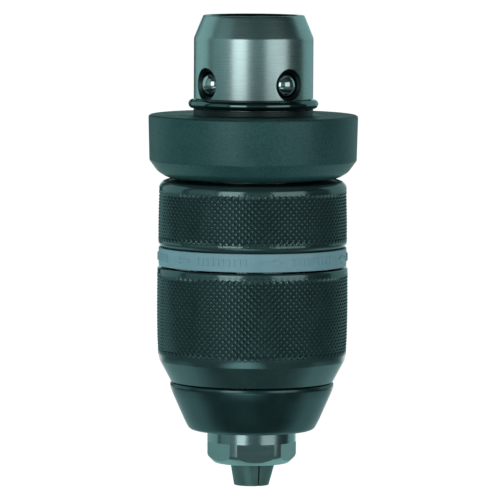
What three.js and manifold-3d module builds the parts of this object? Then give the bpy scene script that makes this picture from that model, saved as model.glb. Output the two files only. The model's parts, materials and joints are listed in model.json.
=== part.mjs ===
// Keyless drill chuck with a quick-change coupling, for a rotary hammer.
// Millimetres, +Z up. The origin is the centre of the coupling's rear face, on the spin axis,
// and the chuck hangs below it, nose down. An azimuth is measured from -Y towards +X.

import * as THREE from 'three';
import { mergeVertices } from 'three/addons/utils/BufferGeometryUtils.js';
import Module from 'manifold-3d';

const wasm = await Module();
wasm.setup();

const { sin, cos, tan, sqrt, PI } = Math;
const radians = THREE.MathUtils.degToRad;

// ---- clearances -------------------------------------------------------------------------
const GAP = 0.3; // between neighbouring pieces
const SEAM = 0.45; // open joint line between two outer pieces
const PIN_GAP = 0.2; // round a pin in its hole
const JAW_GAP = 0.25; // round a jaw in its bore
const PAST = 1; // how far a cutting shape passes the surface that it cuts

// ---- lengths along the axis -------------------------------------------------------------
const COLLAR_SHOULDER = 19.5; // rear face to the wire ring's groove
const COLLAR_CONE = 5.0; // lead-in cone at the rear
const RIM_EDGE = 0.5; // straight edge behind the cone
const HUB_SHOWN = 1.4; // spring-seat bush seen between wire ring and lock ring
const LOCK_RING_LENGTH = 14.75;
const REAR_SLEEVE_LENGTH = 15.55;
const MARK_RING_LENGTH = 3.8;
const MARK_SEAM = 0.7; // joint line in front of the marking ring
const FRONT_SLEEVE_LENGTH = 26.8;
const CAP_LENGTH = 11.1;
const NOSE_LENGTH = 7.8;
const JAW_SHOWN = 5.3; // jaws standing out of the nose when closed
const NUT_LENGTH = 8.3;
const NUT_SET_BACK = 5.8; // sleeve's front edge to the nut
const HUB_LENGTH = 8.6;
const HUB_SLOT_DEPTH = 6.3;
const REAR_LIP = 1.2; // rear sleeve's inward lip over the hub
const SPIGOT_PROUD = 0.7; // spigot above the hub
const BODY_FLANGE = 6.5; // body behind the bearing
const CAP_FLOOR = 2.0;
const FRONT_FLOOR = 2.3; // front sleeve's floor
const SKIRT_PAST = 0.2; // skirt in front of the marking ring
const RACE_LENGTH = 1.0;
const CAGE_LENGTH = 1.0;
const BEARING_ROOM = 3.2; // balls' room between the races
const NUT_FLANGE = 2.2;
const LOCK_TRAVEL = 4.5; // pull of the lock ring
const CORE_LENGTH = 3.0;
const CORE_RECESS = 0.25;
const SEAT_FLANGE = 0.9;
const SEAT_RECESS = 0.7; // flange under the lock ring's rear face

// ---- radii ------------------------------------------------------------------------------
const COLLAR_R = 14.0;
const COLLAR_WALL = 3.95;
const COLLAR_RIM = 1.9; // width of the flat rear rim
const NECK_STEP = 0.7; // collar radius less its radius under the spring
const WIRE_GROOVE = 0.5; // groove's depth under the neck
const WIRE_D = 2.1;
const WIRE_PROUD = 0.17; // wire's centre line outside the collar
const WIRE_SPLIT_AZIMUTH = -78;
const WIRE_SPLIT_DEG = 7;
const SEAT_FLANGE_WIDTH = 2.6;
const LOCK_RING_R = 24.57;
const REAR_SLEEVE_R = 22.2;
const MARK_RING_R = 22.05;
const MARK_RING_WALL = 0.85;
const SKIRT_WALL = 0.7;
const HUB_INSET = 0.7; // hub inside the skirt
const REAR_MOUTH = 2.7; // rear sleeve's mouth outside the collar's neck
const FRONT_SLEEVE_R = 22.44;
const FRONT_SLEEVE_WALL = 2.24;
const FRONT_STEP = 2.7; // thicker wall in front of the nut
const CAP_R = 19.26;
const NOSE_R = 10.48;
const NOSE_CHAMFER = 1.7;
const WRENCH_FLATS = 19;
const WRENCH_LENGTH = 5.1;
const WRENCH_AZIMUTH = 6;
const SHANK_BORE_R = 6.75;
const SOCKET_FLATS = 12; // hexagon that takes the spindle's end
const SOCKET_DEPTH = 11;
const BODY_CORE_R = 12.5;
const BODY_WALL = 0.6; // body outside the jaws, in front of the nut
const SHOULDER_INSET = 0.5; // bearing shoulder inside the races' rim
const SPRING_WIRE_D = 1.5;
const SPRING_TURNS = 3.2;
const SPRING_INSET = 0.2;
const CROSS_PIN_R = 1.1;
const COLLAR_PIN_R = 1.25;
const COLLAR_PIN_BITE = 2.4; // depth of the collar pins in the spigot

// ---- outlines: [change from the piece's radius, height from its lower or upper edge] ----------
const LOCK_RING_LOWER = [[-3.97, 0], [-2.17, 1.05], [-0.26, 4.65]];
const LOCK_RING_UPPER = [[0, -0.6], [-0.57, 0]];
const REAR_SLEEVE_LOWER = [[-0.5, 0], [-0.12, 1.4], [0, 4.0]];
const REAR_SLEEVE_UPPER = [[-0.1, -6.0], [-0.4, -1.6], [-0.9, 0]];
const FRONT_SLEEVE_LOWER = [[-3.27, 0], [-1.0, 4.4], [-0.45, 5.8], [-0.15, 8.0], [0, 16]];
const FRONT_SLEEVE_UPPER = [[-0.04, -2.6], [-0.6, 0]];
const CAP_LOWER = [[-5.4, 0], [-4.0, 0.7], [-3.5, 2.0]];
const CAP_UPPER = [[-0.8, -2.7], [0, -0.7], [-0.4, 0]];

// ---- locking balls ----------------------------------------------------------------------
const BALL_R = 3.175;
const BALL_COUNT = 4;
const BALL_AZIMUTH = 37.1;
const BALL_SET_BACK = 3.6; // collar's shoulder to the balls' centres
const BALL_PROUD = 0.28;
const BALL_DROP = 0.9; // how far a ball sinks when the lock ring is pulled
const BALL_LIP = 0.125; // radius of a ball less that of the lip that holds it in
const BALL_LIP_LENGTH = 0.5;
const BALL_MOUTH = 0.575; // radius of the hole's mouth less that of the ball
const LAND_END = 0.9; // inner sleeve's land in front of the balls' centres
const LAND_RAMP = 1.2;
const SLEEVE_WALL = 0.9; // inner sleeve under its pocket
const SLEEVE_BEHIND = 4; // inner sleeve behind the balls
const SLEEVE_TAIL = 0.6; // inner sleeve in front of the cross pins

// ---- jaws and nut -----------------------------------------------------------------------
const JAW_R = 4.1;
const JAW_ANGLE = radians(15.5);
const JAW_COUNT = 3;
const JAW_AZIMUTH = -36;
const JAW_TIP_ABOVE = 0.6; // jaw axes cross this far above the tips
const GRIP_R = 0.6; // half the smallest opening
const THREAD_PITCH = 2.1;
const OPEN_TURNS = 10;
const TOOTH_DEPTH = 0.65;
const TOOTH_ROOM = 0.55; // between a jaw's groove and the nut's crest
const CREST_SHARE = 0.29; // of the pitch, at the nut thread's crest
const ROOT_SHARE = 0.45; // of the pitch, at the nut thread's root
const GROOVE_SHARE = 0.69; // of the pitch, across a jaw's groove
const NUT_WALL = 2.0;
const BEARING_BALLS = 12;
const CAGE_WEB = 0.4;
const CAGE_INSET = 0.4; // bearing inside the front sleeve

// ---- heights worked out from the lengths --------------------------------------------------
const Z_WIRE = -(COLLAR_SHOULDER + GAP / 2 + WIRE_D / 2);
const Z_BUSH_TOP = Z_WIRE - WIRE_D / 2 - GAP / 2;
const Z_LOCK_TOP = Z_BUSH_TOP - HUB_SHOWN;
const Z_LOCK_BOTTOM = Z_LOCK_TOP - LOCK_RING_LENGTH;
const Z_REAR_TOP = Z_LOCK_BOTTOM - SEAM;
const Z_REAR_BOTTOM = Z_REAR_TOP - REAR_SLEEVE_LENGTH;
const Z_MARK_TOP = Z_REAR_BOTTOM - SEAM;
const Z_MARK_BOTTOM = Z_MARK_TOP - MARK_RING_LENGTH;
const Z_FRONT_TOP = Z_MARK_BOTTOM - MARK_SEAM;
const Z_FRONT_BOTTOM = Z_FRONT_TOP - FRONT_SLEEVE_LENGTH;
const Z_CAP_TOP = Z_FRONT_BOTTOM - SEAM;
const Z_CAP_BOTTOM = Z_CAP_TOP - CAP_LENGTH;
const Z_NOSE_END = Z_CAP_BOTTOM - NOSE_LENGTH;
const Z_JAW_TIP = Z_NOSE_END - JAW_SHOWN;
const Z_CROSS = Z_JAW_TIP + JAW_TIP_ABOVE;

const Z_HUB_TOP = Z_REAR_TOP - REAR_LIP - GAP;
const Z_HUB_BOTTOM = Z_HUB_TOP - HUB_LENGTH;
const Z_SLOT_BOTTOM = Z_HUB_TOP - HUB_SLOT_DEPTH;
const Z_COLLAR_END = Z_SLOT_BOTTOM + GAP;
const Z_SPIGOT_TOP = Z_HUB_TOP + SPIGOT_PROUD;
const BALL_Z = BALL_SET_BACK - COLLAR_SHOULDER;

const Z_NUT_BOTTOM = Z_FRONT_BOTTOM + NUT_SET_BACK;
const Z_NUT_TOP = Z_NUT_BOTTOM + NUT_LENGTH;

// ---- jaws: line of each jaw's back, travel and length ---------------------------------------
const JAW_FOOT = 10; // bar in front of the crossing, before the tips are cut off
const jawAxisR = (z) => (z - Z_CROSS) * tan(JAW_ANGLE);
const jawBackR = (z) => jawAxisR(z) + JAW_R / cos(JAW_ANGLE);
const JAW_TRAVEL = (OPEN_TURNS * THREAD_PITCH) / cos(JAW_ANGLE);
const JAW_ROOM = (Z_HUB_BOTTOM - 2 * GAP - JAW_R * sin(JAW_ANGLE) - Z_CROSS) / cos(JAW_ANGLE);
const JAW_LENGTH = JAW_ROOM - JAW_TRAVEL;

// ---- radii worked out -----------------------------------------------------------------------
const COLLAR_BORE_R = COLLAR_R - COLLAR_WALL;
const NECK_R = COLLAR_R - NECK_STEP;
const WIRE_CENTRE_R = COLLAR_R + WIRE_PROUD;
const SEAT_FLANGE_R = COLLAR_R + SEAT_FLANGE_WIDTH;
const LOCK_BORE_R = SEAT_FLANGE_R + 2 * GAP;
const SPRING_R = (NECK_R + LOCK_BORE_R) / 2 - SPRING_INSET;
const BALL_CENTRE_R = COLLAR_R + BALL_PROUD - BALL_R;
const BALL_LAND_R = BALL_CENTRE_R - BALL_R - GAP;
const BALL_POCKET_R = BALL_LAND_R - BALL_DROP;
const SPINDLE_BORE_R = BALL_POCKET_R - SLEEVE_WALL;
const INNER_SLEEVE_R = COLLAR_BORE_R - GAP;

const SKIRT_R = MARK_RING_R - MARK_RING_WALL - GAP;
const SKIRT_INNER_R = SKIRT_R - SKIRT_WALL;
const JAW_REACH_R = SKIRT_INNER_R - GAP;
const HUB_R = SKIRT_INNER_R - HUB_INSET;

const FRONT_INNER_R = FRONT_SLEEVE_R - FRONT_SLEEVE_WALL;
const BODY_FRONT_R = jawBackR(Z_NUT_BOTTOM) + JAW_GAP + BODY_WALL;
const NUT_R = jawBackR(Z_NUT_TOP) + GAP + NUT_WALL;
const NUT_FLANGE_R = FRONT_INNER_R - 2 * GAP;
const BEARING_OUTER_R = FRONT_INNER_R - CAGE_INSET;
const BEARING_INNER_R = jawBackR(Z_NUT_TOP + 2 * RACE_LENGTH + BEARING_ROOM) + GAP;
const BEARING_R = (BEARING_OUTER_R + BEARING_INNER_R) / 2;
const BEARING_BALL_R = (BEARING_OUTER_R - BEARING_INNER_R) / 2 - CAGE_WEB - PIN_GAP;
const Z_BEARING = Z_NUT_TOP + GAP + RACE_LENGTH + GAP + BEARING_BALL_R;
const Z_REAR_RACE = Z_BEARING + BEARING_BALL_R + GAP;
const Z_BODY_SHOULDER = Z_REAR_RACE + RACE_LENGTH + GAP;
const BODY_NECK_R = BEARING_INNER_R - 2 * GAP;
const NUT_GROOVE_R = jawBackR(Z_NUT_BOTTOM) - TOOTH_DEPTH - 2 * GAP;

// ---- lock ring's inner pieces -----------------------------------------------------------------
const Z_CORE_BOTTOM = Z_LOCK_BOTTOM + CORE_RECESS;
const Z_CORE_TOP = Z_CORE_BOTTOM + CORE_LENGTH;
const Z_CROSS_PIN = (Z_CORE_BOTTOM + Z_CORE_TOP) / 2;
const Z_SEAT_TOP = Z_LOCK_TOP - SEAT_RECESS;
const Z_SEAT_BOTTOM = Z_SEAT_TOP - SEAT_FLANGE;
const Z_COLLAR_PIN = (Z_HUB_TOP + Z_SLOT_BOTTOM) / 2;

// ---- materials --------------------------------------------------------------------------------
const paint = (color, roughness, metalness) =>
  new THREE.MeshStandardMaterial({ color, roughness, metalness });
const SATIN_STEEL = paint(0xb9bcbf, 0.35, 1.0);
const POLISHED_STEEL = paint(0xc8cacc, 0.12, 1.0);
const SPRING_STEEL = paint(0x55585c, 0.3, 1.0);
const DARK_WIRE = paint(0x1d1f22, 0.3, 0.8);
const BLACK_OXIDE = paint(0x1b1c1e, 0.4, 0.7);
const BLACK_MOULDED = paint(0x151617, 0.6, 0.0);
const BLACK_GLOSS = paint(0x101113, 0.25, 0.2);
const GREY_MOULDED = paint(0x5d6b78, 0.55, 0.0);

// ---- shape helpers ----------------------------------------------------------------------------

/** Closed geometry with shared corners merged, and only its positions kept. */
function merged(geometry) {
  geometry.deleteAttribute('normal');
  geometry.deleteAttribute('uv');
  return mergeVertices(geometry, 1e-5);
}

/** Solid of revolution about Z. The profile runs anticlockwise in (radius, height). */
function turned(profile, segments = 32) {
  const closed = profile[0][0] === 0 ? profile : [...profile, profile[0]];
  const points = closed.map(([r, z]) => new THREE.Vector2(r, z));
  return merged(new THREE.LatheGeometry(points, segments).rotateX(PI / 2));
}

/** Stretch of an outline, placed from a radius and a height. */
const outline = (r, z, points) => points.map(([dr, dz]) => [r + dr, z + dz]);

/** Plain ring or tube between two radii and two heights. */
function ring(innerR, outerR, bottom, top, segments = 32) {
  return turned([[innerR, bottom], [outerR, bottom], [outerR, top], [innerR, top]], segments);
}

/** Box between two corners. */
function block([x0, y0, z0], [x1, y1, z1]) {
  const box = new THREE.BoxGeometry(x1 - x0, y1 - y0, z1 - z0);
  return merged(box.translate((x0 + x1) / 2, (y0 + y1) / 2, (z0 + z1) / 2));
}

/** Upright prism between two heights, with its flats a stated distance across. */
function hexPrism(acrossFlats, bottom, top, azimuth = 0) {
  const prism = new THREE.CylinderGeometry(acrossFlats / sqrt(3), acrossFlats / sqrt(3), top - bottom, 6);
  prism.rotateX(PI / 2).rotateZ(radians(azimuth + 30)).translate(0, 0, (top + bottom) / 2);
  return merged(prism);
}

/** Stepped round bar lying along a radius; stations are [bar radius, distance from the axis]. */
function radialBar(stations, height, azimuth) {
  const first = stations[0];
  const last = stations[stations.length - 1];
  const bar = turned([[0, first[1]], ...stations, [0, last[1]]], 12);
  return bar.rotateY(PI / 2).rotateZ(radians(azimuth - 90)).translate(0, 0, height);
}

const pin = (r, from, to, height, azimuth) => radialBar([[r, from], [r, to]], height, azimuth);

/** Round wire swept along a curve. */
function wire(curve, diameter, steps, sides = 6) {
  const corners = [];
  for (let i = 0; i < sides; i += 1) {
    const angle = (2 * PI * i) / sides;
    corners.push(new THREE.Vector2((diameter / 2) * cos(angle), (diameter / 2) * sin(angle)));
  }
  const options = { steps, extrudePath: curve, bevelEnabled: false };
  return merged(new THREE.ExtrudeGeometry(new THREE.Shape(corners), options));
}

/** Helix about Z from one azimuth and height to another. A level one is an open ring. */
class Helix extends THREE.Curve {
  constructor(radius, fromDeg, toDeg, fromZ, toZ) {
    super();
    Object.assign(this, { radius, fromDeg, toDeg, fromZ, toZ });
  }

  getPoint(t, target = new THREE.Vector3()) {
    const angle = radians(this.fromDeg + t * (this.toDeg - this.fromDeg));
    const z = this.fromZ + t * (this.toZ - this.fromZ);
    return target.set(this.radius * sin(angle), -this.radius * cos(angle), z);
  }
}

/** Closed geometry to a solid that can be joined and cut. */
function solid(geometry) {
  const mesh = new wasm.Mesh({
    numProp: 3,
    vertProperties: new Float32Array(geometry.attributes.position.array),
    triVerts: new Uint32Array(geometry.index.array),
  });
  return new wasm.Manifold(mesh);
}

/** Solid back to a geometry. */
function geometryOf(body) {
  const { vertProperties, triVerts } = body.getMesh();
  const geometry = new THREE.BufferGeometry();
  geometry.setAttribute('position', new THREE.BufferAttribute(vertProperties, 3));
  geometry.setIndex(new THREE.BufferAttribute(triVerts, 1));
  return geometry;
}

/** Geometry with other geometries cut out of it. */
function cut(base, ...tools) {
  return geometryOf(tools.reduce((body, tool) => body.subtract(solid(tool)), solid(base)));
}

const model = new THREE.Group();

function add(name, geometry, material, parent = model) {
  const shown = geometry.clone();
  const mesh = new THREE.Mesh(shown.index ? shown : merged(shown), material);
  mesh.name = name;
  parent.add(mesh);
  return mesh;
}

const jawAzimuth = (index) => JAW_AZIMUTH + (360 / JAW_COUNT) * index;
const ballAzimuth = (index) => BALL_AZIMUTH + (360 / BALL_COUNT) * index;

// ---- rear coupling ----------------------------------------------------------------------------

/** Steel collar that goes into the machine: ball holes, pin slots, groove for the wire ring. */
function couplingCollar() {
  const rimR = COLLAR_BORE_R + COLLAR_RIM;
  const blank = turned([
    [NECK_R, Z_COLLAR_END],
    [NECK_R, Z_WIRE - WIRE_D / 2 - GAP / 2],
    [NECK_R - WIRE_GROOVE, Z_WIRE - WIRE_D / 2 - GAP / 2],
    [NECK_R - WIRE_GROOVE, -COLLAR_SHOULDER],
    [COLLAR_R, -COLLAR_SHOULDER],
    [COLLAR_R, -COLLAR_CONE - RIM_EDGE],
    [rimR, -RIM_EDGE],
    [rimR, 0],
    [COLLAR_BORE_R, 0],
    [COLLAR_BORE_R, Z_COLLAR_END],
  ]);
  const lipR = BALL_R - BALL_LIP;
  const lipAt = BALL_CENTRE_R + sqrt(BALL_R ** 2 - (lipR - PIN_GAP) ** 2);
  const holes = [];
  for (let i = 0; i < BALL_COUNT; i += 1) {
    const stations = [
      [BALL_R + PIN_GAP, COLLAR_BORE_R - PAST],
      [BALL_R + PIN_GAP, lipAt],
      [lipR, lipAt],
      [lipR, lipAt + BALL_LIP_LENGTH],
      [BALL_R + BALL_MOUTH, lipAt + BALL_LIP_LENGTH],
      [BALL_R + BALL_MOUTH, COLLAR_R + PAST],
    ];
    holes.push(radialBar(stations, BALL_Z, ballAzimuth(i)));
  }
  const slotHalf = CROSS_PIN_R + GAP;
  for (const side of [-1, 1]) {
    const ends = [side * (COLLAR_BORE_R - PAST), side * (NECK_R + PAST)];
    const [near, far] = ends.sort((a, b) => a - b);
    const top = Z_CROSS_PIN + LOCK_TRAVEL + slotHalf;
    holes.push(block([near, -slotHalf, Z_CROSS_PIN - slotHalf], [far, slotHalf, top]));
    const holeR = COLLAR_PIN_R + PIN_GAP;
    holes.push(pin(holeR, COLLAR_BORE_R - PAST, NECK_R + PAST, Z_COLLAR_PIN, 90 * (1 - side)));
  }
  return cut(blank, ...holes);
}

/** Split ring of round wire that holds the spring-seat bush on the collar. */
function wireRing() {
  const from = WIRE_SPLIT_AZIMUTH + WIRE_SPLIT_DEG / 2;
  return wire(new Helix(WIRE_CENTRE_R, from, from + 360 - WIRE_SPLIT_DEG, Z_WIRE, Z_WIRE), WIRE_D, 36);
}

/** Flanged bush that the lock spring pushes against. */
function springSeatBush() {
  const bore = NECK_R + GAP;
  return turned([
    [bore, Z_SEAT_BOTTOM],
    [SEAT_FLANGE_R, Z_SEAT_BOTTOM],
    [SEAT_FLANGE_R, Z_SEAT_TOP],
    [WIRE_CENTRE_R, Z_SEAT_TOP],
    [WIRE_CENTRE_R, Z_BUSH_TOP],
    [bore, Z_BUSH_TOP],
  ]);
}

/** Coil spring between the bush and the lock ring's core. */
function lockSpring() {
  const top = Z_SEAT_BOTTOM - GAP - SPRING_WIRE_D / 2;
  const bottom = Z_CORE_TOP + GAP + SPRING_WIRE_D / 2;
  const coil = new Helix(SPRING_R, 0, 360 * SPRING_TURNS, bottom, top);
  return wire(coil, SPRING_WIRE_D, Math.round(SPRING_TURNS * 16));
}

/** Outer ring that is pulled back by hand. */
function lockRing() {
  return turned([
    [LOCK_BORE_R, Z_LOCK_BOTTOM],
    ...outline(LOCK_RING_R, Z_LOCK_BOTTOM, LOCK_RING_LOWER),
    ...outline(LOCK_RING_R, Z_LOCK_TOP, LOCK_RING_UPPER),
    [LOCK_BORE_R, Z_LOCK_TOP],
  ]);
}

/** Steel ring pressed in the lock ring. It carries the cross pins. */
function lockRingCore() {
  const blank = ring(NECK_R + GAP, LOCK_BORE_R - GAP, Z_CORE_BOTTOM, Z_CORE_TOP);
  const hole = (azimuth) =>
    pin(CROSS_PIN_R + PIN_GAP, NECK_R - PAST, LOCK_BORE_R + PAST, Z_CROSS_PIN, azimuth);
  return cut(blank, hole(90), hole(-90));
}

/** Sleeve inside the collar: a high land holds the balls out, a pocket lets them sink. */
function innerLockSleeve() {
  const top = BALL_Z + BALL_R + SLEEVE_BEHIND;
  const landTop = BALL_Z + BALL_R + GAP;
  const landEnd = BALL_Z - LAND_END;
  const pocketEnd = BALL_Z - LOCK_TRAVEL - BALL_R - GAP;
  const bottom = Z_CROSS_PIN - CROSS_PIN_R - SLEEVE_TAIL;
  const blank = turned([
    [SPINDLE_BORE_R, bottom],
    [INNER_SLEEVE_R, bottom],
    [INNER_SLEEVE_R, pocketEnd],
    [BALL_POCKET_R, pocketEnd],
    [BALL_POCKET_R, landEnd - LAND_RAMP],
    [BALL_LAND_R, landEnd],
    [BALL_LAND_R, landTop],
    [INNER_SLEEVE_R, landTop],
    [INNER_SLEEVE_R, top],
    [SPINDLE_BORE_R, top],
  ], 24);
  const hole = (azimuth) =>
    pin(CROSS_PIN_R + PIN_GAP, SPINDLE_BORE_R - PAST, INNER_SLEEVE_R + PAST, Z_CROSS_PIN, azimuth);
  return cut(blank, hole(90), hole(-90));
}

// ---- chuck body and its covers ------------------------------------------------------------------

/** Bar the size of a jaw's bore, or of a jaw, in a frame with the jaw leaning out along +X. */
function jawBar(r, from, to) {
  const bar = new THREE.CylinderGeometry(r, r, to - from, 24);
  bar.rotateX(PI / 2).translate(0, 0, (from + to) / 2);
  return merged(bar.rotateY(JAW_ANGLE).translate(0, 0, Z_CROSS));
}

/** Steel body: nose with wrench flats, jaw bores, nut groove, bearing shoulder, hub and socket. */
function chuckBody() {
  const boreTop = Z_BODY_SHOULDER + BODY_FLANGE;
  const blank = turned([
    [0, boreTop],
    [SHANK_BORE_R, boreTop],
    [SHANK_BORE_R, Z_NOSE_END],
    [NOSE_R - NOSE_CHAMFER, Z_NOSE_END],
    [NOSE_R, Z_NOSE_END + NOSE_CHAMFER],
    [NOSE_R, Z_CAP_BOTTOM + CAP_FLOOR],
    [BODY_FRONT_R, Z_CAP_BOTTOM + CAP_FLOOR],
    [BODY_FRONT_R, Z_NUT_BOTTOM - GAP],
    [NUT_GROOVE_R, Z_NUT_BOTTOM - GAP],
    [NUT_GROOVE_R, Z_NUT_TOP + GAP],
    [BODY_NECK_R, Z_NUT_TOP + GAP],
    [BODY_NECK_R, Z_BODY_SHOULDER],
    [BEARING_OUTER_R - SHOULDER_INSET, Z_BODY_SHOULDER],
    [BEARING_OUTER_R - SHOULDER_INSET, boreTop],
    [BODY_CORE_R, boreTop],
    [BODY_CORE_R, Z_HUB_BOTTOM],
    [HUB_R, Z_HUB_BOTTOM],
    [HUB_R, Z_HUB_TOP],
    [NECK_R + GAP, Z_HUB_TOP],
    [NECK_R + GAP, Z_SLOT_BOTTOM],
    [COLLAR_BORE_R - GAP, Z_SLOT_BOTTOM],
    [COLLAR_BORE_R - GAP, Z_SPIGOT_TOP],
    [0, Z_SPIGOT_TOP],
  ]);
  const tools = [];
  for (let i = 0; i < JAW_COUNT; i += 1) {
    const bore = jawBar(JAW_R + JAW_GAP, -JAW_FOOT, JAW_LENGTH + JAW_TRAVEL + GAP);
    tools.push(bore.rotateZ(radians(jawAzimuth(i) - 90)));
  }
  for (const azimuth of [0, 180]) {
    const pinBottom = INNER_SLEEVE_R - COLLAR_PIN_BITE;
    tools.push(pin(COLLAR_PIN_R + PIN_GAP, pinBottom, HUB_R + PAST, Z_COLLAR_PIN, azimuth));
  }
  tools.push(hexPrism(SOCKET_FLATS, Z_SPIGOT_TOP - SOCKET_DEPTH, Z_SPIGOT_TOP + PAST));
  const wrenchTop = Z_NOSE_END + WRENCH_LENGTH;
  const outside = ring(SHANK_BORE_R, NOSE_R + PAST, Z_NOSE_END - PAST, wrenchTop, 24);
  const flats = hexPrism(WRENCH_FLATS, Z_NOSE_END - 2 * PAST, wrenchTop + PAST, WRENCH_AZIMUTH);
  tools.push(cut(outside, flats));
  return cut(blank, ...tools);
}

/** Rear sleeve, held still by hand, with a thin skirt under the marking ring. */
function rearSleeve() {
  const overHub = HUB_R + GAP;
  return turned([
    [SKIRT_INNER_R, Z_MARK_BOTTOM - SKIRT_PAST],
    [SKIRT_R, Z_MARK_BOTTOM - SKIRT_PAST],
    [SKIRT_R, Z_REAR_BOTTOM],
    ...outline(REAR_SLEEVE_R, Z_REAR_BOTTOM, REAR_SLEEVE_LOWER),
    ...outline(REAR_SLEEVE_R, Z_REAR_TOP, REAR_SLEEVE_UPPER),
    [NECK_R + REAR_MOUTH, Z_REAR_TOP],
    [NECK_R + REAR_MOUTH, Z_REAR_TOP - REAR_LIP],
    [overHub, Z_REAR_TOP - REAR_LIP],
    [overHub, Z_HUB_BOTTOM - GAP],
    [SKIRT_INNER_R, Z_HUB_BOTTOM - GAP],
  ]);
}

/** Black cone that closes the front, round the body's nose. */
function noseCap() {
  const bore = BODY_FRONT_R + GAP;
  const floorTop = Z_CAP_BOTTOM + CAP_FLOOR - GAP;
  return turned([
    [NOSE_R + GAP, Z_CAP_BOTTOM],
    ...outline(CAP_R, Z_CAP_BOTTOM, CAP_LOWER),
    ...outline(CAP_R, Z_CAP_TOP, CAP_UPPER),
    [bore, Z_CAP_TOP],
    [bore, floorTop],
    [NOSE_R + GAP, floorTop],
  ]);
}

// ---- front sleeve, nut and thrust bearing ---------------------------------------------------------

/** Front sleeve, turned by hand. */
function frontSleeve() {
  const floorBore = BODY_FRONT_R + GAP;
  const floorTop = Z_FRONT_BOTTOM + FRONT_FLOOR;
  return turned([
    [floorBore, Z_FRONT_BOTTOM],
    ...outline(FRONT_SLEEVE_R, Z_FRONT_BOTTOM, FRONT_SLEEVE_LOWER),
    ...outline(FRONT_SLEEVE_R, Z_FRONT_TOP, FRONT_SLEEVE_UPPER),
    [FRONT_INNER_R, Z_FRONT_TOP],
    [FRONT_INNER_R, Z_NUT_BOTTOM - GAP],
    [FRONT_INNER_R - FRONT_STEP, Z_NUT_BOTTOM - GAP],
    [FRONT_INNER_R - FRONT_STEP, floorTop],
    [floorBore, floorTop],
  ]);
}

/** Right-hand ridge that runs round inside the nut, following the cone of the jaws' backs. */
function nutThread(segments) {
  const turns = Math.ceil(NUT_LENGTH / THREAD_PITCH) + 3; // it runs out past both faces
  const firstZ = Z_NUT_BOTTOM - THREAD_PITCH;
  const steps = turns * segments;
  const crestHalf = (THREAD_PITCH * CREST_SHARE) / 2;
  const rootHalf = (THREAD_PITCH * ROOT_SHARE) / 2;
  const positions = [];
  const faces = [];
  for (let i = 0; i <= steps; i += 1) {
    const angle = (2 * PI * i) / segments;
    const z = firstZ + (THREAD_PITCH * i) / segments;
    const crestR = jawBackR(z) - TOOTH_DEPTH;
    const rootR = jawBackR(z) + 2 * GAP;
    for (const [r, dz] of [[rootR, -rootHalf], [rootR, rootHalf], [crestR, crestHalf], [crestR, -crestHalf]]) {
      positions.push(r * cos(angle), r * sin(angle), z + dz);
    }
  }
  for (let i = 0; i < steps; i += 1) {
    for (let k = 0; k < 4; k += 1) {
      const [a, b] = [4 * i + k, 4 * i + ((k + 1) % 4)];
      faces.push(a, a + 4, b, b, a + 4, b + 4);
    }
  }
  const end = 4 * steps;
  faces.push(0, 1, 2, 0, 2, 3, end, end + 2, end + 1, end, end + 3, end + 2);
  const geometry = new THREE.BufferGeometry();
  geometry.setAttribute('position', new THREE.Float32BufferAttribute(positions, 3));
  geometry.setIndex(faces);
  return geometry;
}

/** Half of the split nut, on the side where Y has the stated sign. */
function nutHalf(side) {
  const segments = 24;
  const blank = turned([
    [jawBackR(Z_NUT_BOTTOM) + GAP, Z_NUT_BOTTOM],
    [NUT_R, Z_NUT_BOTTOM],
    [NUT_R, Z_NUT_TOP - NUT_FLANGE],
    [NUT_FLANGE_R, Z_NUT_TOP - NUT_FLANGE],
    [NUT_FLANGE_R, Z_NUT_TOP],
    [jawBackR(Z_NUT_TOP) + GAP, Z_NUT_TOP],
  ], segments);
  const reach = NUT_FLANGE_R + PAST;
  const slab = block([-reach, -reach, Z_NUT_BOTTOM], [reach, reach, Z_NUT_TOP]);
  const threadInside = solid(nutThread(segments)).intersect(solid(slab));
  const near = side > 0 ? GAP / 2 : -reach;
  const [bottom, top] = [Z_NUT_BOTTOM - PAST, Z_NUT_TOP + PAST];
  const half = block([-reach, near, bottom], [reach, near + reach - GAP / 2, top]);
  return geometryOf(solid(blank).add(threadInside).intersect(solid(half)));
}

/** Cage of the thrust bearing, with a round pocket for each ball. */
function bearingCage() {
  const [bottom, top] = [Z_BEARING - CAGE_LENGTH / 2, Z_BEARING + CAGE_LENGTH / 2];
  const blank = ring(BEARING_INNER_R, BEARING_OUTER_R, bottom, top, 24);
  const pocketR = BEARING_BALL_R + PIN_GAP;
  const pockets = [];
  for (let i = 0; i < BEARING_BALLS; i += 1) {
    const pocket = new THREE.CylinderGeometry(pocketR, pocketR, CAGE_LENGTH + 2 * PAST, 8);
    pocket.rotateX(PI / 2).translate(BEARING_R, 0, Z_BEARING);
    pockets.push(merged(pocket.rotateZ((2 * PI * i) / BEARING_BALLS)));
  }
  return cut(blank, ...pockets);
}

// ---- jaws ------------------------------------------------------------------------------------------

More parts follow.
